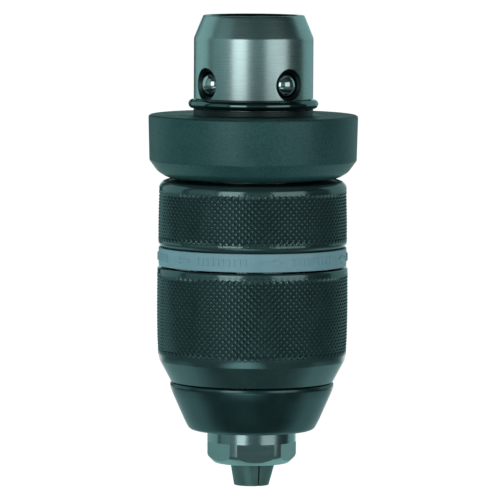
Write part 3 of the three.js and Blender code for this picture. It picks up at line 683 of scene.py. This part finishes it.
def on_hub(radius, z):
    """On the bush's hub, in the shade of the wire ring, where painted shade goes."""
    return radius < HUB_R + 0.5 and z > flange_top - 0.2


# The hub gets the near-black painted shade.
shade_faces(bush, PAINTED_SHADE_BLACK, on_hub)

spring_low, spring_high, spring_r = heights("lock_spring")
SPRING_WIRE = 1.5
SPRING_TURNS = 3.2
END_FLATTENING = 0.075
coil_r = spring_r - SPRING_WIRE / 2
coil_low, coil_high = spring_low + SPRING_WIRE / 2, spring_high - SPRING_WIRE / 2
COIL_STEPS = 170
spring_path = []
for k in range(COIL_STEPS + 1):
    t = k / COIL_STEPS
    eased = t - END_FLATTENING * sin(2 * pi * t)
    coil_z = coil_low + (coil_high - coil_low) * eased
    spring_path.append(circle_point(coil_r, 360 * SPRING_TURNS * t, coil_z))
spring = swept_wire("lock_spring_fine", spring_path, SPRING_WIRE / 2 * MM, sides=14)
spring.data.materials.append(SPRING_STEEL)
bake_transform(spring)
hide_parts("lock_spring")
print("spring:", SPRING_TURNS, "turns, radius", round(coil_r, 2), "mm")

# %% [markdown]
# ## Lock ring
#
# The widest piece: a moulded ring that the hand pulls back. Its flank drafts in slightly towards
# the front and ends in a crisp crease. From there a chamfer and a round lead under. The grain is
# fine enough to read as matte. A subdivision surface would soften the crease, so the section's
# own roundings shape it: small at the crease, larger below it.

# %% Lock ring
lock_ring = turned("lock_ring_fine", [
    (LOCK_BORE, lock_low, 0.2),
    (lock_r - 5.0, lock_low, 0.4),
    (lock_r - 3.9, lock_low + 0.4, 0.4),
    (lock_r - 2.2, lock_low + 1.45, 0.7),
    (lock_r - 0.26, lock_low + 4.1, 0.25),
    (lock_r, lock_high - 0.35, 0.35),
    (lock_r - 0.45, lock_high, 0.35),
    (LOCK_BORE, lock_high, 0.12),
], columns=224, sharp=40)
fit(lock_ring, "lock_ring_set", LOCK_RING_BLACK, "black_moulded", "lock_ring")
print("lock ring:", round(2 * lock_r, 2), "mm across")

# %% [markdown]
# ## Knurled sleeves
#
# A diamond knurl is two sets of spiral grooves that cross. What is left standing are pointed
# pyramids in staggered rows. It could be a bump texture, but then the outline would be smooth and
# the light would not break at the edge. Here the radius itself follows the two groove sets, on a
# grid fine enough for every point.
#
# With `u` and `v` counting the two sets of grooves, how deep a point lies depends on its distance
# from the nearest groove of either set. A worn tip is nearly flat, so the inner third of each
# pyramid drops only a little and is shaded smooth, while the flanks stay flat and catch the light
# one by one. At both borders the knurling wheels ran out, and the pyramids sink into the band.

# %% A knurled piece
TIP_CREASE, TIP_DROP = 1 / 3, 0.085
KNURL_DEPTH = 0.40
RUN_OUT = 0.8


def knurl_drop(turn, rise, last):
    """How far the surface lies under the full radius; turn and rise count pyramids."""
    wave_u = np.abs((turn + rise) % 1 - 0.5) * 2
    wave_v = np.abs((turn - rise) % 1 - 0.5) * 2
    drop = np.interp(np.maximum(wave_u, wave_v), [0, TIP_CREASE, 1], [0, TIP_DROP, KNURL_DEPTH])
    to_border = np.minimum(rise, last - rise)
    lift = KNURL_DEPTH * np.clip(1 - to_border / RUN_OUT, 0, 1)
    return np.maximum(drop - lift, 0)


def knurled(name, outer, inner, knurl_from, knurl_to, around, pitch, split=3):
    """Closed sleeve in millimetres: outer runs upwards, inner runs downwards, as (radius, height).

    Between the two knurl heights the sleeve is cut with pyramids, a whole number of them round it.
    Each pyramid is two splits wide on both sides of its tip. The pitch gives way a little, so that
    a whole number of splits fits from border to border.
    """
    columns = around * 2 * split
    count = round((knurl_to - knurl_from) / pitch * 2 * split)
    cut_z = knurl_from + (knurl_to - knurl_from) * np.arange(count + 1) / count
    below = [p for p in outer if p[1] < knurl_from - 0.02]
    above = [p for p in outer if p[1] > knurl_to + 0.02]
    full = np.interp(cut_z, [p[1] for p in outer], [p[0] for p in outer])
    rows = np.array([*below, *zip(full, cut_z), *above, *inner])
    first = len(below)

    drop = np.zeros((len(rows), columns))
    turn = np.arange(columns) / (2 * split)
    rise = np.arange(count + 1)[:, None] / (2 * split)
    drop[first:first + count + 1] = knurl_drop(turn, rise, count / (2 * split))
    angle = 2 * pi * np.arange(columns) / columns
    radius = rows[:, :1] - drop
    height = np.broadcast_to(rows[:, 1:], radius.shape)
    points = np.stack([radius * np.sin(angle), -radius * np.cos(angle), height], -1) * MM

    i, j = np.meshgrid(np.arange(len(rows)), np.arange(columns), indexing="ij")
    ni, nj = (i + 1) % len(rows), (j + 1) % columns
    quads = np.stack([i * columns + j, i * columns + nj, ni * columns + nj, ni * columns + j], -1)
    is_cut = (i >= first) & (i < first + count)
    plain = quads[~is_cut]
    cells = quads[is_cut]
    d = drop.ravel()[cells]
    rising, falling = np.abs(d[:, 0] - d[:, 2]), np.abs(d[:, 1] - d[:, 3])
    level = np.isclose(rising, falling, atol=1e-6)
    deeper = d[:, 0] + d[:, 2] > d[:, 1] + d[:, 3]
    along = np.where(level, deeper, rising < falling)
    triangles = np.concatenate([
        cells[along][:, [0, 1, 2]], cells[along][:, [0, 2, 3]],
        cells[~along][:, [0, 1, 3]], cells[~along][:, [1, 2, 3]],
    ])
    mesh = bpy.data.meshes.new(name)
    mesh.from_pydata(points.reshape(-1, 3).tolist(), [], plain.tolist() + triangles.tolist())
    piece = finish_piece(name, mesh, sharp=48)
    on_tip = drop.ravel()[triangles].max(axis=1) < TIP_DROP + 1e-6
    mesh.polygons.foreach_set("use_smooth", np.concatenate([np.ones(len(plain), bool), on_tip]))
    print(f"{name}: {around} points round, {count / (2 * split):.1f} rows")
    return piece


# %% [markdown]
# The rear sleeve is held still while the front one is turned. Its barrel is very slightly full in
# the middle. The smooth bands at its ends are where the knurling wheels ran in and out.

# %% Rear sleeve
rear_low, rear_high, rear_r = heights("rear_sleeve")
mark_low, mark_high, mark_r = heights("marking_ring")
REAR_SHOULDER = mark_high + 0.35
SKIRT = mark_r - 1.15
SKIRT_INNER = SKIRT - 0.7
OVER_HUB = SKIRT_INNER - 0.4

rear_outer = rounded([
    (rear_r - 0.55, REAR_SHOULDER, 0.15),
    (rear_r - 0.07, REAR_SHOULDER + 0.7, 0.35),
    (rear_r, REAR_SHOULDER + 4.5, 1.5),
    (rear_r - 0.1, rear_high - 6.0, 1.5),
    (rear_r - 0.24, rear_high - 1.3, 0.8),
    (rear_r - 1.1, rear_high - 0.35, 0.6),
    (rear_r - 2.2, rear_high, 0.3),
], steps=4)
rear_inner = [
    (NECK + 2.9, rear_high),
    (NECK + 2.7, rear_high - 0.2),
    (NECK + 2.7, rear_high - 1.2),
    (OVER_HUB, rear_high - 1.2),
    (OVER_HUB, rear_high - 10.5),
    (SKIRT_INNER, rear_high - 10.9),
    (SKIRT_INNER, rear_low),
    (SKIRT, rear_low),
    (SKIRT, REAR_SHOULDER),
]
rear_sleeve = knurled(
    "rear_sleeve_fine", rear_outer, rear_inner,
    knurl_from=REAR_SHOULDER + 1.2, knurl_to=rear_high - 2.15,
    around=92, pitch=1.515,
)
fit(rear_sleeve, "chuck", SLEEVE_BLACK, "black_knurled", "rear_sleeve")
# The skirt's inside gets the near-black painted shade.
shade_faces(rear_sleeve, PAINTED_SHADE_BLACK, lambda radius, z: radius < SKIRT + 0.1)

# %% [markdown]
# The front sleeve is turned to open and close the jaws. Its front end runs down a cone, so the
# fingers meet no edge.

# %% Front sleeve
front_low, front_high, front_r = heights("front_sleeve")
FRONT_BORE = front_r - 2.24
BODY_CLEARANCE_R = 14.0
front_outer = rounded([
    (front_r - 3.33, front_low - 0.12, 0.15),
    (front_r - 0.72, front_low + 4.8, 0.12),
    (front_r - 0.36, front_low + 6.3, 0.7),
    (front_r - 0.12, front_low + 10.0, 2.0),
    (front_r, front_low + 17.0, 3.0),
    (front_r - 0.04, front_high - 2.4, 0.8),
    (front_r - 0.08, front_high - 0.3, 0.2),
    (front_r - 0.40, front_high, 0.1),
], steps=4)
nut_low = heights("nut_half_a")[0]
front_inner = [
    (FRONT_BORE + 0.3, front_high),
    (FRONT_BORE, front_high - 0.3),
    (FRONT_BORE, nut_low - 0.3),
    (FRONT_BORE - 2.7, nut_low - 0.3),
    (FRONT_BORE - 2.7, front_low + 2.3),
    (BODY_CLEARANCE_R, front_low + 2.3),
    (BODY_CLEARANCE_R, front_low + 0.2),
    (BODY_CLEARANCE_R + 0.2, front_low - 0.12),
]
front_sleeve = knurled(
    "front_sleeve_fine", front_outer, front_inner,
    knurl_from=front_low + 6.4, knurl_to=front_high - 1.05,
    around=92, pitch=1.515,
)
fit(front_sleeve, "front_sleeve_set", SLEEVE_BLACK, "black_knurled", "front_sleeve")


def in_front_bore(radius, z):
    """Inside the front sleeve, behind its web, where painted shade goes."""
    return radius < FRONT_BORE + 0.2 and z > front_low + 3


# The bore behind the web gets the near-black painted shade.
shade_faces(front_sleeve, PAINTED_SHADE_BLACK, in_front_bore)

# %% [markdown]
# ## Marking ring
#
# The ring tells the hand which way to turn. On this one the marks are generic: arrows for the
# turning direction, and plain ticks between them, all raised by a few tenths of a millimetre. They
# could be a bump in the finish. Raised marks are better real, because their edges catch light at
# any distance, so each one is a small bevelled plate bent to the ring.

# %% Marking ring
ring_low, ring_high = mark_low - 0.3, mark_high + 0.1
marking_ring = turned("marking_ring_fine", [
    (SKIRT + 0.3, ring_low, 0.1),
    (mark_r, ring_low, 0.14),
    (mark_r, ring_high, 0.14),
    (SKIRT + 0.3, ring_high, 0.1),
], columns=224, sharp=40)
fit(marking_ring, "chuck", RING_GREY, "grey_moulded", "marking_ring")

# %% Raised marks
MARK_RISE = 0.30
ARROW = [
    (-2.6, -0.35), (0.6, -0.35), (0.6, -0.95), (2.4, 0.0),
    (0.6, 0.95), (0.6, 0.35), (-2.6, 0.35),
]
TICK = [(-0.22, -0.85), (0.22, -0.85), (0.22, 0.85), (-0.22, 0.85)]


def raised_marks(name, marks, radius, middle):
    """Plates standing on a cylinder; marks are (outline, azimuth, whether it is turned round)."""
    work = bmesh.new()
    for outline, azimuth, turned_round in marks:
        sign = -1 if turned_round else 1
        levels = []
        for lift, inset in ((-0.1, 0.0), (MARK_RISE - 0.04, 0.0), (MARK_RISE, 0.06)):
            ring_of = []
            for x, z in outline:
                shrink = max(0.0, 1 - inset / max(0.2, hypot(x, z)))
                angle = azimuth + (sign * x * shrink / radius) * 180 / pi
                at = circle_point(radius + lift, angle, middle + z * shrink)
                ring_of.append(work.verts.new(at))
            levels.append(ring_of)
        count = len(outline)
        for low, high in zip(levels, levels[1:]):
            for k in range(count):
                work.faces.new((low[k], low[(k + 1) % count], high[(k + 1) % count], high[k]))
        work.faces.new(levels[-1])
        work.faces.new(list(reversed(levels[0])))
    bmesh.ops.recalc_face_normals(work, faces=work.faces)
    mesh = bpy.data.meshes.new(name)
    work.to_mesh(mesh)
    work.free()
    return finish_piece(name, mesh, sharp=30)


marks = []
for group in range(6):
    base = 12 + 60 * group
    marks.append((ARROW, base, group % 2 == 1))
    marks += [(TICK, base + 13 + 3.4 * k, False) for k in range(10)]
mark_plates = raised_marks("ring_marks", marks, mark_r, (ring_low + ring_high) / 2)
fit(mark_plates, "chuck", RING_GREY, "grey_moulded")
print("raised marks:", len(marks))

# %% [markdown]
# ## Nose cap
#
# The cap is a smooth cone that closes the chuck in front of the sleeve. Its rear edge is a short
# upright rim with a rolled corner, and its front edge is well rounded. It is one section spun
# round, since a lathe makes it in one go too.

# %% Nose cap
cap_low, cap_high, cap_r = heights("nose_cap")
NOSE = 10.48
CAP_BORE = 14.0
nose_cap = turned("nose_cap_fine", [
    (NOSE + 0.3, cap_low, 0.1),
    (cap_r - 4.65, cap_low, 1.0),
    (cap_r - 3.55, cap_low + 2.0, 1.4),
    (cap_r - 0.62, cap_high - 2.5, 1.0),
    (cap_r - 0.02, cap_high - 0.8, 0.5),
    (cap_r - 0.06, cap_high - 0.1, 0.2),
    (cap_r - 0.35, cap_high + 0.15, 0.1),
    (CAP_BORE, cap_high + 0.15),
    (CAP_BORE, cap_low + 1.7),
    (NOSE + 0.3, cap_low + 1.7),
], columns=224, sharp=40)
fit(nose_cap, "chuck", CAP_BLACK, "black_cone", "nose_cap")
print("nose cap from", round(cap_low, 1), "to", round(cap_high, 1), "mm")

# %% [markdown]
# ## Jaws
#
# Three round bars lean in towards the nose and meet on the axis. Each has two flat cheeks, where
# it lies against its neighbours when the chuck is shut, and rack teeth across its back for the
# nut. They are cut just as the toolmaker cuts them: bar stock first, then flats, then teeth.

# %% What a jaw is made to
jaw_nodes = ["jaw_1", "jaw_2", "jaw_3"]
slides = {j["name"]: j for j in frame["joints"]}
jaw_axes = [Vector(slides[n + "_slide"]["axis"]) for n in jaw_nodes]
jaw_azimuths = [atan2(a.x, -a.y) * 180 / pi for a in jaw_axes]
lean = atan2(jaw_axes[0].xy.length, jaw_axes[0].z)
travel = slides["jaw_1_slide"]["range_m"][1] / MM
turns = slides["front_sleeve_turn"]["range_deg"][1] / 360
tooth_pitch = travel * cos(lean) / turns

JAW_R = 4.1
TIP = tip_z / MM
CROSS = TIP + 0.6
nose_end = heights("chuck_body")[0]
jaw_top = max(heights(n)[1] for n in jaw_nodes)
jaw_length = (jaw_top - JAW_R * sin(lean) - CROSS) / cos(lean)
BEVEL_AT = SKIRT_INNER - 0.3 - travel * sin(lean)
print(f"jaws lean {lean * 180 / pi:.1f} degrees and travel {travel:.1f} mm")
print(f"tooth pitch {tooth_pitch:.2f} mm")

# %% Cutting the jaws
def jaw_back(z):
    """Radius of a jaw's back at a height."""
    return (z - CROSS) * tan(lean) + JAW_R / cos(lean)


def leaning(piece):
    """Leans a bar along Z outwards over +X, about the point where the jaws' axes cross."""
    return moved(piece, Matrix.Translation((0, 0, CROSS * MM)) @ Matrix.Rotation(lean, 4, "Y"))


def make_jaw(name, azimuth):
    """One jaw: bar, flats and teeth."""
    stock = [(JAW_R, -8), (JAW_R, jaw_length - 0.4), (JAW_R - 0.4, jaw_length)]
    jaw = leaning(bar(name, stock, 56))
    far, below, above = 30, TIP - 30, jaw_top + 10
    tools = [
        block("foot", (-far, -far, below), (far, far, TIP)),
        block("grip", (-far, -far, below), (0.6, far, above)),
        block("heel", (BEVEL_AT, -far, below), (far, far, above)),
    ]
    for side in (-1, 1):
        near = -0.15 if side > 0 else -far
        cheek = block("cheek", (-far, near, below), (far, near + far + 0.15, above))
        tools.append(moved(cheek, Matrix.Rotation(side * radians(60), 4, "Z")))
    phase = tooth_pitch * (azimuth - 90) / 360
    lowest = nut_low - turns * tooth_pitch - tooth_pitch / 2
    highest = heights("nut_half_a")[1] + tooth_pitch
    k = ceil((lowest - nut_low - phase) / tooth_pitch)
    while nut_low + phase + k * tooth_pitch < highest:
        z = nut_low + phase + k * tooth_pitch
        half = tooth_pitch * 0.345
        inner = jaw_back(z) - 1.0
        tools.append(block("tooth_gap", (inner, -6, z - half), (inner + 6, 6, z + half)))
        k += 1
    cut(jaw, tools, sharp=25)
    soften = jaw.modifiers.new("soften", "BEVEL")
    soften.width = 0.00018
    soften.segments = 2
    soften.limit_method = "ANGLE"
    soften.angle_limit = radians(30)
    moved(jaw, Matrix.Rotation(radians(azimuth - 90), 4, "Z"))
    return jaw


for node, azimuth in zip(jaw_nodes, jaw_azimuths):
    jaw = make_jaw(node + "_fine", azimuth)
    fit(jaw, node, JAW_BLACK, "black_oxide", node)
    print(node, "azimuth", round(azimuth, 1), "faces", len(jaw.data.polygons))

# %% [markdown]
# ## Chuck body
#
# The body is one steel turning. From the front: the nose with six spanner flats, the stretch that
# carries the cap and sleeve, the groove for the nut, the shoulder for the bearing, and the hub. The
# spanner flats are milled into the round nose, so they end in a curved runout. A hexagon cut from
# the nose gives that for nothing.

# %% Turning the body
_, body_high, hub = heights("chuck_body")
hub_top = rear_high - 1.5
hub_bottom = hub_top - 8.6
_, race_high, race_r = heights("rear_race")
shoulder = race_high + 0.3
shoulder_top = shoulder + 6.5
race_bore = jaw_back(nut_low + 8.3 + 5.2) + 0.3
SHANK = 6.75
HUB_WAIST = 12.5
FLATS = 19.0
groove_r = jaw_back(nut_low) - 1.25
front_body_r = jaw_back(nut_low) + 0.85
chuck_body = merge_axis(turned("chuck_body_fine", [
    (0, shoulder_top),
    (SHANK, shoulder_top),
    (SHANK, nose_end + 0.5, 0.1),
    (SHANK + 0.45, nose_end, 0.1),
    (NOSE - 1.75, nose_end, 0.4),
    (NOSE, nose_end + 1.75, 0.6),
    (NOSE, cap_low + 2.0),
    (front_body_r, cap_low + 2.0, 0.2),
    (front_body_r, nut_low - 0.3, 0.15),
    (groove_r, nut_low - 0.3, 0.2),
    (groove_r, nut_low + 8.6, 0.2),
    (race_bore - 0.6, nut_low + 8.6),
    (race_bore - 0.6, shoulder, 0.2),
    (race_r - 0.5, shoulder, 0.2),
    (race_r - 0.5, shoulder_top, 0.4),
    (HUB_WAIST, shoulder_top, 0.5),
    (HUB_WAIST, hub_bottom, 0.5),
    (hub, hub_bottom, 0.3),
    (hub, hub_top, 0.3),
    (NECK + 0.3, hub_top, 0.2),
    (NECK + 0.3, hub_top - 6.3),
    (COLLAR_BORE - 0.3, hub_top - 6.3),
    (COLLAR_BORE - 0.3, body_high, 0.2),
    (0, body_high),
], columns=144))
print("body blank faces:", len(chuck_body.data.polygons))

# %% Drilling the body
def prism(name, across, low, high, azimuth):
    """Hexagonal bar with its flats a stated distance across."""
    work = bmesh.new()
    corner = across / sqrt(3) * MM
    rings = []
    for z in (low, high):
        spots = [radians(azimuth + 30 + 60 * k) for k in range(6)]
        rings.append([work.verts.new((corner * sin(a), -corner * cos(a), z * MM)) for a in spots])
    work.faces.new(reversed(rings[0]))
    work.faces.new(rings[1])
    for k in range(6):
        n = (k + 1) % 6
        work.faces.new((rings[0][k], rings[0][n], rings[1][n], rings[1][k]))
    bmesh.ops.recalc_face_normals(work, faces=work.faces)
    mesh = bpy.data.meshes.new(name)
    work.to_mesh(mesh)
    work.free()
    tool = bpy.data.objects.new(name, mesh)
    bpy.context.scene.collection.objects.link(tool)
    return tool


FLAT_AZIMUTH = 6
FLAT_LENGTH = 5.1
tools = []
for azimuth in jaw_azimuths:
    bore_r, bore_top = JAW_R + 0.25, jaw_length + travel + 0.3
    bore = leaning(bar("jaw_bore", [(bore_r, -10), (bore_r, bore_top)], 56))
    tools.append(moved(bore, Matrix.Rotation(radians(azimuth - 90), 4, "Z")))
for azimuth in (0, 180):
    hole = bar("pin_hole", [(PIN_HOLE_R, COLLAR_BORE - 2.7), (PIN_HOLE_R, hub + 1)], 24)
    tools.append(moved(hole, along_radius(azimuth, collar_pin_z)))
tools.append(prism("socket", 12, body_high - 11, body_high + 1, 0))
outside = merge_axis(turned("outside", [
    (NOSE - 1.5, nose_end - 1), (NOSE + 2, nose_end - 1),
    (NOSE + 2, nose_end + FLAT_LENGTH), (NOSE - 1.5, nose_end + FLAT_LENGTH, 0.0),
], columns=96))
cut(outside, [prism("flats", FLATS, nose_end - 3, nose_end + FLAT_LENGTH + 2, FLAT_AZIMUTH)])
tools.append(outside)
cut(chuck_body, tools, sharp=12)
fit(chuck_body, "chuck", NOSE_STEEL, "turned_steel", "chuck_body")
print("body faces:", len(chuck_body.data.polygons))

# %% [markdown]
# ## The pieces inside
#
# Nobody sees the nut, the races or the pins while the chuck is whole, so the working model's own
# shapes stay. They still get real finishes, because a reader may take them out.

# %% Finishes for the inner pieces
INNER_FINISH = {
    "lock_ring_core": INNER_STEEL,
    "inner_lock_sleeve": INNER_STEEL,
    "nut_half_a": INNER_STEEL,
    "nut_half_b": INNER_STEEL,
    "nut_band": INNER_STEEL,
    "front_race": BALL_STEEL,
    "rear_race": BALL_STEEL,
    "bearing_cage": SPRING_STEEL,
    "cross_pin_1": SPRING_STEEL,
    "cross_pin_2": SPRING_STEEL,
    "collar_pin_1": SPRING_STEEL,
    "collar_pin_2": SPRING_STEEL,
}
for node in frame["nodes"]:
    if node.startswith("bearing_ball"):
        INNER_FINISH[node] = BALL_STEEL
for node, finish in INNER_FINISH.items():
    inner = frame["nodes"][node].data
    inner.materials.clear()
    inner.materials.append(finish)
print("inner pieces:", len(INNER_FINISH))

# %% [markdown]
# ## Light
#
# Polished metal shows nothing but its surroundings, so the studio is built for what the steel
# should mirror: a bright tall box left of the camera, a wider and dimmer one on the right, a dark
# gap between them and another beyond the right one, and upright walls at the sides.
#
# The floor is a pale sheet. The cones at the front of the chuck look down and mirror it, so it
# glows in patches of its own, though no lamp lights them: white far behind, where it fills the
# view, and painted light elsewhere, a soft painted glow under and behind the chuck, a small painted
# light patch in front that puts the bright band on the front sleeve, and a faint painted glow far
# in front. Extra lights could do the same, but they would also light the flanks.

# %% Floor finish
floor_finish, floor_tree, floor_shader = new_finish("floor_pale", (0.5, 0.5, 0.5), 0.0, 0.9)
fibre = noise(floor_tree, 30, detail=3)
pale = tint(floor_tree, fibre, (0.34, 0.42, 0.42), (0.37, 0.45, 0.45))
floor_tree.links.new(pale, floor_shader.inputs["Base Color"])
spot = floor_tree.nodes.new("ShaderNodeTexCoord")
spot_split = floor_tree.nodes.new("ShaderNodeSeparateXYZ")
floor_tree.links.new(spot.outputs["Object"], spot_split.inputs["Vector"])


def calculate(tree, operation, first, second=None):
    """One step of arithmetic in a shader."""
    node = tree.nodes.new("ShaderNodeMath")
    node.operation = operation
    for socket, value in zip(node.inputs, (first, second)):
        if isinstance(value, (int, float)):
            socket.default_value = value
        elif value is not None:
            tree.links.new(value, socket)
    return node.outputs["Value"]


def floor_glow_patch(strength, middle, x_full, x_none, y_none, y_full):
    """Glow emitted by the floor, for the white backdrop and as painted light: full inside x_full of
    a middle line, and from y_none rising to y_full.
    """
    side = calculate(floor_tree, "SUBTRACT", spot_split.outputs["X"], middle)
    side = calculate(floor_tree, "ABSOLUTE", side)
    across = spread(floor_tree, side, 1.0, 0.0, x_full, x_none)
    low, high = sorted((y_none, y_full))
    ends = (0.0, 1.0) if y_full > y_none else (1.0, 0.0)
    deep = spread(floor_tree, spot_split.outputs["Y"], *ends, low, high)
    both = calculate(floor_tree, "MULTIPLY", across, deep)
    return calculate(floor_tree, "MULTIPLY", both, strength)


behind = floor_glow_patch(1.02, 0, 1.0, 1.5, 1.0, 2.0)
# The three patches below are painted light: the floor glows there though no lamp lights it.
painted_close_glow = floor_glow_patch(0.48, 0, 0.6, 1.1, -0.14, 0.10)
painted_light_patch = floor_glow_patch(1.1, -0.14, 0.10, 0.36, -0.36, -0.52)
painted_light_patch = calculate(floor_tree, "MULTIPLY", painted_light_patch, floor_glow_patch(1.0, 0, 1.0, 2.0, -1.4, -0.8))
painted_far_glow = floor_glow_patch(0.30, 0, 12.0, 20.0, -4.0, -8.0)
glow = behind
for patch in (painted_close_glow, painted_light_patch, painted_far_glow):
    glow = calculate(floor_tree, "MAXIMUM", glow, patch)
floor_tree.links.new(glow, floor_shader.inputs["Emission Strength"])
GLOW_COLOR = tint(floor_tree, behind, (0.62, 1.0, 0.98), (1, 1, 1), 0.0, 1.0)
floor_tree.links.new(GLOW_COLOR, floor_shader.inputs["Emission Color"])

# %% Floor
FLOOR_DROP = 0.35
FLOOR_HALF = 40.0
work = bmesh.new()
bmesh.ops.create_grid(work, x_segments=8, y_segments=8, size=FLOOR_HALF)
floor_mesh = bpy.data.meshes.new("floor")
work.to_mesh(floor_mesh)
work.free()
floor = bpy.data.objects.new("floor", floor_mesh)
floor.location = (0, 0, tip_z - FLOOR_DROP)
floor.data.materials.append(floor_finish)
bpy.context.scene.collection.objects.link(floor)
print("floor", FLOOR_DROP, "m under the jaws")

# %% Softboxes
def softbox(name, azimuth, height, width, tall, radiance, color, upright=False, distance=2.2):
    """Area light at an azimuth seen from the chuck, facing it or upright, as bright as stated."""
    light = bpy.data.lights.new(name, "AREA")
    light.shape = "RECTANGLE"
    light.size = width
    light.size_y = tall
    light.energy = radiance * pi * width * tall
    light.color = color
    lamp = bpy.data.objects.new(name, light)
    a = radians(azimuth)
    lamp.location = (distance * sin(a), -distance * cos(a), height)
    aim = Vector((0, 0, height if upright else -0.05)) - lamp.location
    lamp.rotation_euler = aim.to_track_quat("-Z", "Y").to_euler()
    bpy.context.scene.collection.objects.link(lamp)
    return lamp


NEAR_WHITE = (0.93, 1.0, 0.995)
COOL = (0.60, 1.0, 0.98)
softbox("key_left", -27, 0.25, 1.15, 1.35, 1.72, NEAR_WHITE)
softbox("fill_right", 46, 0.25, 1.75, 1.35, 0.92, NEAR_WHITE)
softbox("wall_left", -68, 0.72, 1.6, 2.3, 0.28, COOL, upright=True)
softbox("wall_left_behind", -122, 0.72, 2.1, 2.3, 0.50, COOL, upright=True)
softbox("wall_right", 136, 0.72, 2.2, 2.3, 0.40, COOL, upright=True)

# %% Sky
world = bpy.data.worlds.new("studio")
bpy.context.scene.world = world
world.use_nodes = True
sky = world.node_tree
background = sky.nodes["Background"]
where = sky.nodes.new("ShaderNodeTexCoord")
sky_split = sky.nodes.new("ShaderNodeSeparateXYZ")
sky.links.new(where.outputs["Generated"], sky_split.inputs["Vector"])
fade = tint(sky, sky_split.outputs["Z"], (0.14, 0.25, 0.245), (0.046, 0.084, 0.084), 0.05, 0.5)
sky.links.new(fade, background.inputs["Color"])
ahead = spread(sky, sky_split.outputs["Y"], 1.0, 0.35, -0.8, -0.2)
backdrop = spread(sky, sky_split.outputs["Y"], 0.0, 3.0, 0.93, 0.985)
brightness = sky.nodes.new("ShaderNodeMath")
brightness.operation = "ADD"
sky.links.new(ahead, brightness.inputs[0])
sky.links.new(backdrop, brightness.inputs[1])
sky.links.new(brightness.outputs["Value"], background.inputs["Strength"])
bpy.context.scene.view_settings.view_transform = "Standard"
print("sky ready")
